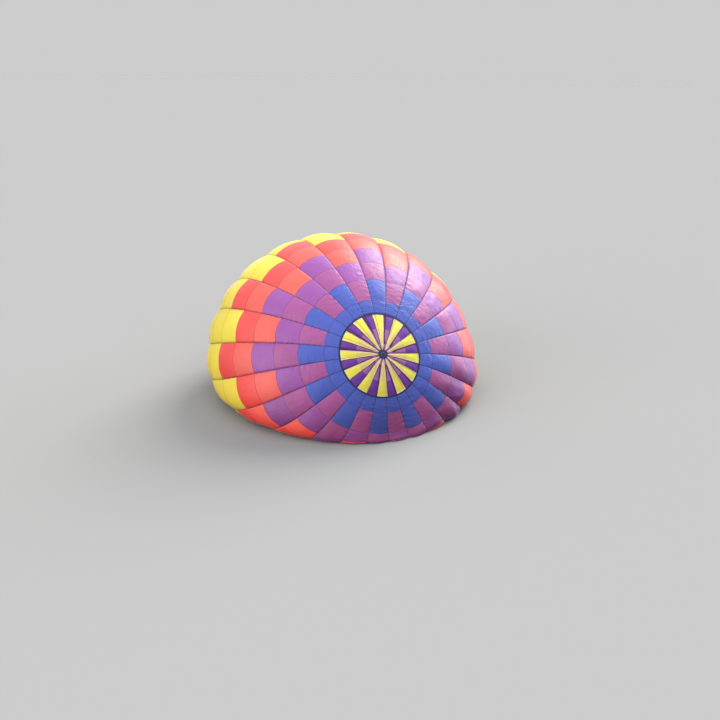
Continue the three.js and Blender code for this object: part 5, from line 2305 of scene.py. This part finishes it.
    def make(self) -> None:
        """Builds the burner."""
        rig, radius, pin, tip, half = self.rig, self.bar_radius, self.pin, self.bar_tip, self.bar_half
        bar = [
            (0.0, -tip), (pin - 0.002, -tip), (pin, -tip + 0.002), (pin, -half), (radius - 0.002, -half),
            (radius, -half + 0.002),
        ]
        for place in (-0.21, -0.09):
            low, high = place - 0.012, place + 0.012
            bar += [(radius, low), (radius + 0.004, low), (radius + 0.004, high), (radius, high)]
        profile = bar + [(out, -along) for out, along in reversed(bar)]
        steel = [turned("crossbar", profile, rig.at(rig.frame), UP, Finishes.STEEL)]
        brass, grips, heads = [], [], []
        for name, up in (("lower", -1), ("upper", 1)):
            z = up * rig.can_spacing / 2
            brass += self.valve(z)
            grips.append(self.lever(z))
            self.can(z, f"burner_can_{name}_shell")
            self.coil(z, f"burner_coil_{name}_tube")
            back = rig.frame - self.body[0] / 2 - 0.002
            heads += [rig.at(back, y, z + deep) for y in (-0.044, 0.044) for deep in (-0.034, 0.034)]
        steel.append(self.paths.studs("valve_bolts", heads, -AHEAD, 0.0052, 0.006, Finishes.STEEL))
        seat(join("valve_bodies", brass), Slot.BRASS, "burner_block", body=Body.BURNER)
        seat(join("burner_crossbar", steel), Slot.STEEL, body=Body.BURNER)
        seat(join("lever_grips", grips), Slot.STEEL, body=Body.BURNER)


# Basket


@dataclass
class Uprights(Fitting):
    """Padded sleeves over the rods between the basket and the load frame."""

    radius: float = 0.0345
    sides: int = 28
    rings: int = 90
    straps: tuple[float, ...] = (0.12, 0.31, 0.5, 0.69, 0.88)
    puckers: GradientNoise = field(default_factory=lambda: GradientNoise(53))

    def ends(self, side: int, up: int) -> tuple[np.ndarray, np.ndarray]:
        """Returns the middles of an upright's foot and top."""
        rig = self.rig
        inset = rig.corner - (rig.corner - rig.wall / 2) * math.sqrt(0.5)
        beside, over = side * (rig.half_length - inset), up * (rig.half_width - inset)
        top = rig.frame_corner(side, up, -rig.casting - rig.gap)
        return np.array(rig.at(rig.rim + rig.gap, beside, over)), np.array(top)

    def radii(self, share: np.ndarray, angle: np.ndarray) -> np.ndarray:
        """Returns the sleeve's radius at a share of its length and an angle."""
        radius = self.radius * (0.55 + 0.45 * smoothstep(np.minimum(share, 1 - share) / 0.045) ** 0.6)
        for strap in self.straps:
            radius = radius * (1 - 0.15 * bell((share - strap) / 0.014))
        radius = radius * (1 - 0.07 * bell(np.angle(np.exp(1j * angle)) / 0.16))
        rubbed = self.puckers(np.stack([share * 6, np.cos(angle), np.sin(angle)], -1), 0.5)
        return radius * (1 + 0.02 * rubbed)

    def skin(
        self, side: int, up: int, share: np.ndarray | float, angle: np.ndarray | float, more: float = 0.0
    ) -> np.ndarray:
        """Finds points of a sleeve.

        Args:
            side: The upright's side.
            up: Its height, likewise 1 or -1.
            share: Place along it, from 0 to 1.
            angle: Angle from its seam, which faces inwards.
            more: Height above the sleeve.

        Returns:
            Points in metres.
        """
        share, angle = np.broadcast_arrays(share, angle)
        foot, top = self.ends(side, up)
        radius = self.radii(share, angle) + more
        angle = angle + math.atan2(-up, -side)
        offset = np.stack([0 * angle, np.cos(angle), np.sin(angle)], -1)
        return foot + share[..., None] * (top - foot) + radius[..., None] * offset

    def make(self) -> None:
        """Builds the four sleeves, their rods, straps and laces."""
        angles = TURN * np.arange(self.sides) / self.sides
        shares = np.linspace(0.012, 0.988, self.rings)
        clear = [
            share
            for share in np.arange(0.05, 0.95, 0.03)
            if min(abs(share - strap) for strap in self.straps) >= 0.02
        ]
        rods, straps, laces = [], [], []
        for k, (side, up) in enumerate(Rig.CORNERS):
            foot, top = self.ends(side, up)
            rings = self.skin(side, up, shares[:, None], angles[None, :])
            sleeve = loft(f"upright_sleeve_{k + 1}", rings, Finishes.SUEDE)
            seat(sleeve, Slot.HIDE, f"upright_{k + 1}")
            low, high = (foot + share * (top - foot) for share in (shares[4], shares[-5]))
            rods += [Line([foot, low]), Line([high, top])]
            for strap in self.straps:
                ring = self.skin(side, up, strap, TURN * np.arange(20) / 20, 0.0006)
                straps.append(Line(ring, unit(ring - (foot + strap * (top - foot))), closed=True))
            for share in clear:
                across = (np.array([share, share + 0.012]), np.array([-0.22, 0.22]))
                laces.append(Line(self.skin(side, up, *across, 0.0012)))
        seat(self.paths.rod("upright_rods", rods, 0.0155, Finishes.NYLON, sides=20), Slot.STEEL)
        seat(self.paths.ribbon("upright_straps", straps, 0.025, 0.0016, Finishes.STRAP), Slot.WEBBING)
        seat(self.paths.rod("upright_laces", laces, 0.0012, Finishes.THREAD, sides=5), Slot.WEBBING)


@dataclass
class Basket(Fitting):
    """Woven basket: stakes and weavers, borders, padded rim, floor and runners."""

    stakes: int = 88
    pitch: float = 0.0156
    weaver: float = 0.0083
    sway: float = 0.0104
    rim_deep: float = 0.078
    rim_wide: float = 0.084
    thongs: int = 44
    hole: tuple[float, float] = (0.19, 0.13)
    hole_up: float = 0.47
    skirt_half: float = 0.0202
    skirt_thick: float = 0.0026
    skirt_high: float = 0.115
    runner: tuple[float, float] = (0.045, 0.06)
    runner_place: float = 0.43
    noise: GradientNoise = field(default_factory=lambda: GradientNoise(71))

    @property
    def hole_middle(self) -> float:
        """Place of the foot holes' middle, on X."""
        return self.rig.floor + self.hole_up

    def in_hole(self, points: np.ndarray, spare: float) -> np.ndarray:
        """Tells which points lie in a foot hole, with some room to spare."""
        long, high = self.hole
        beside = np.abs(points[..., 1]) > self.rig.half_length - 0.08
        within = np.abs(points[..., 2] - self.rig.centre) < long / 2 + spare
        return beside & within & (np.abs(points[..., 0] - self.hole_middle) < high / 2 + spare)

    def broken(self, points: np.ndarray, spare: float) -> list[Line]:
        """Splits a closed run where it crosses a foot hole."""
        inside = self.in_hole(points, spare)
        if not inside.any():
            return [Line(points, closed=True)]
        first = int(np.argmax(inside))
        points, inside = np.roll(points, -first, axis=0), np.roll(inside, -first)
        runs = np.split(points, np.flatnonzero(np.diff(inside.astype(int))) + 1)
        return [Line(run) for run in runs if len(run) > 1 and not self.in_hole(run[:1], spare)[0]]

    def weave(self) -> None:
        """Weaves the wall."""
        rig = self.rig
        low = rig.floor + 0.03
        rows = int((rig.rim - self.rim_deep - 0.004 - low) / self.pitch)
        turn = np.arange(self.stakes * 3) / 3
        groups: dict[str, list[Line]] = {"low": [], "high": [], "dark": []}
        for row in range(rows):
            x = low + row * self.pitch
            out = self.sway * np.cos(math.pi * (turn + row))
            uneven = self.noise(rig.around(x, out), 0.11)
            ring = rig.around(x + 0.0016 * uneven, out * (1 + 0.06 * uneven))
            group = "dark" if row % 21 in (9, 10, 11) else "low" if row < rows / 2 else "high"
            groups[group] += self.broken(ring, self.weaver + 0.001)
        for group, lines in groups.items():
            finish = Finishes.DARK_WICKER if group == "dark" else Finishes.WICKER
            weavers = self.paths.rod(f"weavers_{group}", lines, self.weaver, finish, sides=5)
            seat(weavers, Slot.WICKER, *(["basket_wall"] if group == "low" else []))

    def stand_stakes(self) -> None:
        """Stands the stakes that the weavers go round."""
        rig = self.rig
        long, high = self.hole
        low, top = rig.floor + 0.004, rig.rim - self.rim_deep + 0.01
        lines = []
        for y, z in rig.outline(self.stakes)[0]:
            runs = [(low, top)]
            if abs(y) > rig.half_length - 0.08 and abs(z) < long / 2:
                runs = [(low, self.hole_middle - high / 2), (self.hole_middle + high / 2, top)]
            lines += [Line([rig.at(x, y, z) for x in np.linspace(*run, 6)]) for run in runs]
        seat(self.paths.rod("stakes", lines, 0.0052, Finishes.DARK_WICKER, sides=6), Slot.WICKER)

    def plait(self) -> None:
        """Runs a three-strand plait round the lower border."""
        turns = round(4.55 / 0.075)
        share = np.arange(turns * 9) / (turns * 9)
        lines = []
        for strand in range(3):
            angle = TURN * (turns * share + strand / 3)
            x, out = self.rig.floor + 0.0125 + 0.0062 * np.sin(angle), 0.0062 * np.cos(angle)
            lines.append(Line(self.rig.around(x, out), closed=True))
        seat(self.paths.rod("lower_border", lines, 0.0072, Finishes.WICKER, sides=7), Slot.WICKER)

    def skirt(self) -> None:
        """Folds a strip of hide round the lower edge and laces it on."""
        rig, half, thick, high = self.rig, self.skirt_half, self.skirt_thick, self.skirt_high
        outer = [(high, half), (0.02, half), (0.006, half - 0.003), (-0.0015, half - 0.011)]
        outer += [(x, -out) for x, out in reversed(outer)]
        outer[-1] = (0.03, -half)
        inner = [(x + (thick if x < 0.01 else 0), out - math.copysign(thick, out)) for x, out in outer[::-1]]
        count = 264
        wave = 0.0012 * np.sin(TURN * 66 * np.arange(count) / count)
        rings = [rig.around(rig.floor + x + wave * (x > 0.1), out) for x, out in (*outer, *inner)]
        seat(loft("hide_skirt", np.stack(rings, 1), Finishes.HIDE, closed=True), Slot.HIDE)
        places = (0.012, -0.002), (0.006, 0.0012), (-0.014, 0.0014), (-0.018, -0.002)
        rings = [rig.around(rig.floor + high + x, half + out, count) for x, out in places]
        laces = [
            Line([ring[(k + step) % count] for step, ring in enumerate(rings)]) for k in range(0, count, 4)
        ]
        seat(self.paths.rod("skirt_laces", laces, 0.0018, Finishes.RAWHIDE, sides=5), Slot.HIDE)

    def rim_skin(self, more: float = 0.0) -> np.ndarray:
        """Returns rings round the rim's section, a little more out where asked."""
        middle, count = self.rig.rim - self.rim_deep / 2, self.thongs * 8
        place = np.arange(count) / 8
        pinch = bell((place - np.round(place)) / 0.09)
        angles = TURN * np.arange(24) / 24
        rings = []
        section = (np.sign(way) * np.abs(way) ** 0.72 for way in (np.cos(angles), np.sin(angles)))
        for across, along in zip(*section):
            lump = self.noise(self.rig.around(middle, across * 0.04, count), 0.09)
            size = 1 - 0.085 * pinch + 0.02 * lump
            deep, wide = (side / 2 - 0.001 for side in (self.rim_deep, self.rim_wide))
            rings.append(
                self.rig.around(middle + along * (deep * size + more), across * (wide * size + more))
            )
        return np.stack(rings, 1)

    def rim(self) -> None:
        """Lays the padded rim over the top border, with its thongs and seam."""
        cover = loft("rim_cover", self.rim_skin(), Finishes.SUEDE, closed=True)
        seat(cover, Slot.HIDE, "basket_rim")
        outside = self.rim_skin(0.0014)
        lines = [Line(outside[k * 8], closed=True) for k in range(self.thongs)]
        seat(self.paths.rod("rim_thongs", lines, 0.0022, Finishes.RAWHIDE, sides=6), Slot.HIDE)
        seams = [Line(outside[:, column], closed=True) for column in (19, 17)]
        seat(self.paths.stitches("rim_stitches", seams, 0.007, 0.0008, 0.012, Finishes.THREAD), Slot.WEBBING)

    def hole_rings(self) -> None:
        """Binds the edges of the two foot holes with hide."""
        rig = self.rig
        across, up = (side / 2 + 0.015 for side in self.hole)
        angles = TURN * np.arange(16) / 16
        rings = []
        for side in (-1, 1):
            middle = rig.at(self.hole_middle, side * (rig.half_length - rig.wall / 2))
            corners = [middle + Vector((a * up, 0, b * across)) for a, b in Rig.CORNERS]
            run = rounded(corners, 0.04, closed=True, steps=8)
            reach = 0.0175 + 0.0006 * np.cos(np.arange(len(run)) * math.pi)
            away = unit(run - np.array(middle))[:, None]
            ring = run[:, None] + reach[:, None, None] * np.cos(angles)[None, :, None] * away
            ring[..., 1] += 0.0215 * np.sin(angles)
            rings.append(loft("hole_binding", ring, Finishes.HIDE, closed=True))
        seat(join("foot_hole_bindings", rings), Slot.HIDE)

    def floor(self) -> None:
        """Builds the floor, its bolts and the tie wires under it."""
        rig = self.rig
        low, high = rig.floor + 0.0004, rig.floor + rig.floor_thick
        spans = (low, 0.004), (low + 0.0015, 0.0025), (high - 0.0015, 0.0025), (high, 0.004)
        rings = np.stack([rig.around(x, -rig.wall / 2 - inset, 120) for x, inset in spans])
        seat(loft("floor_board", rings, Finishes.PLYWOOD), Slot.PLYWOOD, "basket_floor")
        heads = [
            rig.at(high + 0.0012, y, z)
            for y in (-0.43, 0.0, 0.43)
            for z in (-0.36, -0.12, 0.12, 0.36)
            if abs(y) <= 0.3 or abs(z) <= 0.2
        ]
        edge = rig.half_width - rig.wall / 2
        half_run = [(0.05, edge + 0.017), (-0.0022, edge + 0.017), (-0.0048, edge - 0.03)]
        run = half_run + [(x, -z) for x, z in reversed(half_run)]
        ties = [
            Line(rounded([rig.at(rig.floor + x, y, z) for x, z in run], 0.001))
            for y in (-0.3, -0.13, 0.13, 0.3)
        ]
        bolts = self.paths.studs("floor_bolts", heads, AHEAD, 0.011, 0.0024, Finishes.STEEL, sides=20)
        wires = self.paths.rod("tie_wires", ties, 0.0022, Finishes.WIRE, sides=6)
        seat(join("floor_fittings", [bolts, wires]), Slot.STEEL)

    def runners(self) -> None:
        """Builds the three runners with their wear strips and bolts."""
        rig, (deep, wide) = self.rig, self.runner
        long, under = 2 * (rig.half_width - rig.corner), rig.floor - rig.gap + 0.0012
        strips, heads = [], []
        for name, place in (("left", -1), ("middle", 0), ("right", 1)):
            y = place * self.runner_place
            size = (deep - 0.0024, wide, long)
            bar = block(f"runner_{name}_bar", rig.at(under - deep / 2, y), size, 0.007, Finishes.RUNNER)
            seat(bar, Slot.PLYWOOD, f"runner_{name}")
            sole, size = rig.at(under - deep, y), (0.0024, wide * 0.6, long - 0.03)
            strips.append(block("strip", sole, size, 0.0008, Finishes.STEEL))
            heads += [sole + Vector((-0.0008, 0, z)) for z in np.linspace(-0.39, 0.39, 6)]
        strips.append(self.paths.studs("strip_screws", heads, -AHEAD, 0.006, 0.002, Finishes.BRASS, sides=12))
        seat(join("wear_strips", strips), Slot.STEEL)

    def handles(self) -> None:
        """Adds the rope handles on the two long sides."""
        rig = self.rig
        half_run = mm((-30, -30, -100), (-30, 12, -100), (-85, 22, -70))
        run = half_run + [(x, out, -z) for x, out, z in reversed(half_run)]
        pad = mm((-85, 22, -45), (-85, 22, 0), (-85, 22, 45))
        lines, pads = [], []
        for side in (-1, 1):
            for along in (-0.3, 0.3):
                rope, cover = (
                    [
                        rig.at(rig.floor + 0.78 + x, side * (rig.half_length + 0.001 + out), along + z)
                        for x, out, z in places
                    ]
                    for places in (run, pad)
                )
                lines.append(Line(rounded(rope, 0.02, steps=5)))
                pads.append(Line(cover))
        seat(self.paths.rod("rope_handles", lines, 0.007, Finishes.TWINE, sides=10), Slot.WICKER)
        seat(self.paths.rod("handle_covers", pads, 0.0095, Finishes.HIDE, sides=16), Slot.HIDE)

    def make(self) -> None:
        """Builds the basket."""
        for step in (
            self.weave, self.stand_stakes, self.plait, self.skirt, self.rim, self.hole_rings, self.floor,
            self.runners, self.handles,
        ):
            step()


@dataclass
class Cylinders(Fitting):
    """Fuel cylinders in the corners of the basket, each with its valve and two straps."""

    radius: float = 0.148
    length: float = 0.86
    collar_high: float = 0.095
    straps: tuple[float, float] = (0.22, 0.56)

    VALVE = mm((0, 0), (26, 0), (26, 8), (17, 10), (17, 40), (11.5, 44), (11.5, 55), (0, 55))
    OUTLET = mm((0, 0), (9.5, 0), (9.5, 26), (12.5, 28), (12.5, 42), (9, 43), (0, 43))
    DIAL = mm((0, 0), (20, 0), (21.5, 3), (21.5, 8), (19.5, 9.5), (18.5, 8), (0, 8))
    WHEEL = mm((18.5, 60), (23.5, 58), (26.5, 62), (26.5, 70), (23.5, 73.5), (18.5, 71.5))
    HUB = mm((0, 52), (6.5, 52), (6.5, 73), (0, 74))
    SPOKE = mm((0, 4), (3.2, 4), (3.2, 21), (0, 21))

    @property
    def top(self) -> float:
        """Height of the shoulder's top over the foot."""
        return self.length - self.collar_high

    def foot(self, side: int, up: int) -> Vector:
        """Returns the middle of a cylinder's foot."""
        rig = self.rig
        inset = rig.wall + rig.gap + self.radius + 2 * rig.gap
        x = rig.floor + rig.floor_thick + rig.gap
        return rig.at(x, side * (rig.half_length - inset), up * (rig.half_width - inset))

    def shell(self, name: str, foot: Vector) -> Object:
        """Builds the painted shell: foot ring, barrel with its weld, shoulder and collar."""
        top, radius = self.top, self.radius - 0.0004
        bend = [
            (0.1168 + 0.03 * math.sin(a), 0.075 - 0.03 * math.cos(a))
            for a in np.radians(np.linspace(20, 90, 6))
        ]
        dome = [
            (0.09 + (radius - 0.0912) * math.cos(a), top - 0.068 + 0.062 * math.sin(a))
            for a in np.radians(np.linspace(0, 84, 9))
        ]
        collar = ((91, -2), (91, 88), (89.5, 94.5), (86.5, 94.5), (85.5, 88), (85.5, 3), (30, 6), (0, 6))
        profile = [
            *mm((0, 30), (104, 30), (112, 0), (118, 0), (118, 36)), *bend,
            (radius - 0.0012, 0.38), (radius, 0.3835), (radius, 0.3865), (radius - 0.0012, 0.39),
            *dome, *((out, top + along) for out, along in mm(*collar)),
        ]
        shell = turned(name, profile, foot, AHEAD, Finishes.ENAMEL, sides=56)
        slot = block("slot", foot + AHEAD * (top + 0.045), (0.04, 0.26, 0.062), 0.012, Finishes.ENAMEL)
        return cut(shell, [slot])

    def valve(self, foot: Vector) -> tuple[list[Object], list[Object]]:
        """Builds the valve in the collar, and its handwheel."""
        start = foot + AHEAD * (self.top + 0.005)
        brass, grip = Finishes.BRASS, Finishes.GRIP
        pieces = [turned("valve", self.VALVE, start, AHEAD, brass, sides=24)]
        for way, sides in ((Vector((0, 1, 0.35)), 6), (Vector((0, -0.6, -1)), 18)):
            pieces.append(turned("outlet", self.OUTLET, start + AHEAD * 0.026, way, brass, sides=sides))
        dial = start + Vector((0.0005, 0.052, -0.03))
        pieces.append(turned("level_gauge", self.DIAL, dial, AHEAD, brass, sides=24))
        wheel = [
            turned("handwheel", self.WHEEL, start, AHEAD, grip, sides=28),
            turned("hub", self.HUB, start, AHEAD, grip, sides=16),
        ]
        for k in range(3):
            way = Vector((0, math.cos(TURN * k / 3), math.sin(TURN * k / 3)))
            wheel.append(turned("spoke", self.SPOKE, start + AHEAD * 0.066, way, grip, sides=8))
        return pieces, wheel

    def make(self) -> None:
        """Builds the four cylinders."""
        brass, wheels, straps, places, buckles = [], [], [], [], []
        quarter = Matrix.Rotation(math.pi / 2, 4, "Z")
        for k, (side, up) in enumerate(Rig.CORNERS):
            foot = self.foot(side, up)
            shell = self.shell(f"cylinder_shell_{k + 1}", foot)
            seat(shell, Slot.CYLINDER, f"fuel_cylinder_{k + 1}")
            pieces, wheel = self.valve(foot)
            brass += pieces
            wheels += wheel
            inward = Vector((0, -side, -up)).normalized()
            turn = UP.rotation_difference(inward).to_matrix().to_4x4() @ quarter
            for along in self.straps:
                middle = foot + AHEAD * along
                straps.append(circle(middle, AHEAD, self.radius + 0.0008, 56))
                places.append(Matrix.Translation(middle + inward * (self.radius + 0.004)) @ turn)
        seat(join("cylinder_valves", brass), Slot.BRASS)
        seat(join("handwheels", wheels), Slot.STEEL)
        seat(self.paths.ribbon("cylinder_straps", straps, 0.038, 0.0014, Finishes.STRAP), Slot.WEBBING)
        for place in places:
            buckle = block("buckle", Vector(), (0.05, 0.034, 0.006), 0.0018, Finishes.STEEL)
            buckle.data.transform(place)
            buckles.append(buckle)
        seat(join("buckles", buckles), Slot.STEEL)


# Camera, light and floor


@dataclass(frozen=True)
class Studio:
    """The camera at the photograph's place, soft lights and a pale floor.

    Angles are in degrees and lengths in metres.
    """

    ground: float = -4.4
    target: tuple[float, float, float] = (2.5, 0.0, 1.6)
    distance: float = 42.516
    azimuth: float = -22.483
    elevation: float = 19.210
    yaw: float = -0.108
    pitch: float = -3.790
    roll: float = -0.721
    lens: float = 36.05
    sensor: float = 36.0
    underside: Color = (0.07, 0.072, 0.075)
    surround: Color = (0.6, 0.605, 0.6)
    before: Color = (0.16, 0.17, 0.19)
    overhead: Color = (1.24, 1.31, 1.46)
    floor_color: Color = (0.284, 0.281, 0.269)
    wall_reach: float = 700.0
    wall_height: float = 400.0

    LIGHTS = (
        ("key", 122, 38, 34, 4.0, (1.0, 0.97, 0.92)),
        ("left fill", -79, 18, 50, 2.1, (1.0, 0.97, 0.92)),
        ("right fill", 104, 10, 50, 1.7, (0.72, 0.84, 1.0)),
    )

    def camera(self) -> None:
        """Places the camera."""
        azimuth, elevation = math.radians(self.azimuth), math.radians(self.elevation)
        level = math.cos(elevation)
        back = Vector((level * math.cos(azimuth), level * math.sin(azimuth), math.sin(elevation)))
        right = UP.cross(back).normalized()
        axes = [right, back.cross(right), -back]
        for axis, angle in ((1, self.yaw), (0, self.pitch), (2, self.roll)):
            turn = Quaternion(axes[axis], math.radians(angle))
            axes = [turn @ way for way in axes]
        data = bpy.data.cameras.new("Camera")
        data.lens, data.sensor_width, data.clip_end = self.lens, self.sensor, 1000
        camera = placed("Camera", data)
        place = Matrix((axes[0], axes[1], -axes[2])).transposed().to_4x4()
        place.translation = Vector(self.target) + self.distance * back
        camera.matrix_world = place
        bpy.context.scene.camera = camera

    def lights(self) -> None:
        """Adds the key light from behind on the right, a fill on each side, and the surround."""
        for name, azimuth, elevation, spread, strength, color in self.LIGHTS:
            data = bpy.data.lights.new(name, "SUN")
            data.angle, data.energy, data.color = math.radians(spread), strength, color
            placed(name, data).rotation_euler = (math.radians(90 - elevation), 0, math.radians(90 + azimuth))
        world = bpy.data.worlds.new("Surround")
        world.use_nodes = True
        nodes = Nodes(world.node_tree)
        way = nodes.axes(nodes.out("ShaderNodeTexCoord", pick="Generated"))
        before = nodes.math("MULTIPLY", nodes.ramp(way["X"], -0.3, 0.5), nodes.ramp(way["Z"], 0.07, 0.15))
        walls = nodes.mix(before, self.surround, self.before)
        sky = nodes.mix(nodes.ramp(way["Z"], 0.3, 0.65), walls, self.overhead)
        fall = nodes.ramp(way["Z"], -0.12, -0.04, 1.0, 0.0)
        background = world.node_tree.nodes["Background"]
        nodes.feed(background.inputs["Color"], nodes.mix(fall, sky, self.underside))
        bpy.context.scene.world = world
        bpy.context.scene.view_settings.view_transform = "Standard"

    def stand(
        self, name: str, points: np.ndarray, faces: list[tuple[int, ...]], color: Color, glows: bool
    ) -> None:
        """Adds a part of the room, which throws no light on the balloon.

        Args:
            name: Its name.
            points: Its points.
            faces: Corner numbers of its faces.
            color: Its colour.
            glows: True where it shows its colour whatever the light.
        """
        material = bpy.data.materials.new(name)
        material.use_nodes = True
        inputs = material.node_tree.nodes["Principled BSDF"].inputs
        inputs["Base Color"].default_value = (0, 0, 0, 1)
        inputs["Emission Color" if glows else "Base Color"].default_value = (*color, 1)
        inputs["Roughness"].default_value = 1.0
        inputs["Specular IOR Level"].default_value = 0.0
        inputs["Emission Strength"].default_value = float(glows)
        part = mesh_object(name, points, faces, [material])
        part.visible_diffuse = part.visible_glossy = part.visible_transmission = False
        part.visible_shadow = not glows

    def room(self) -> None:
        """Lays the floor and raises a round wall far off, both plain and pale."""
        corners = self.wall_reach * 1.2 * np.array([(-1, -1, 0), (1, -1, 0), (1, 1, 0), (-1, 1, 0)])
        self.stand("floor", corners + (0, 0, self.ground), [(0, 1, 2, 3)], self.floor_color, glows=False)
        sides = 48
        angles = TURN * np.arange(sides) / sides
        ring = self.wall_reach * np.stack([np.cos(angles), np.sin(angles), 0 * angles], -1)
        points = np.concatenate([ring + (0, 0, self.ground), ring + (0, 0, self.wall_height)])
        faces = [(k, (k + 1) % sides, (k + 1) % sides + sides, k + sides) for k in range(sides)]
        self.stand("backdrop", points, faces, self.surround, glows=True)


def main() -> None:
    """Loads the frame, dresses it and sets the scene."""
    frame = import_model()
    LOG.info("%d nodes in the frame", len(frame["nodes"]))
    studio = Studio()
    studio.camera()
    shape, rig, paths = EnvelopeShape(), Rig(), Paths()
    envelope = Envelope(shape, Wrinkles(shape), paths)
    mouth = Mouth(rig, paths, envelope)
    pieces = [envelope, ParachuteValve(shape, paths), Crown(shape, paths), mouth, Rigging(rig, paths, mouth)]
    pieces += [kind(rig, paths) for kind in (LoadFrame, Gimbal, Burner, Uprights, Basket, Cylinders)]
    for piece in pieces:
        piece.make()
    studio.lights()
    studio.room()


if __name__ == "__main__":
    logging.basicConfig(level=logging.INFO, format="%(message)s")
    main()
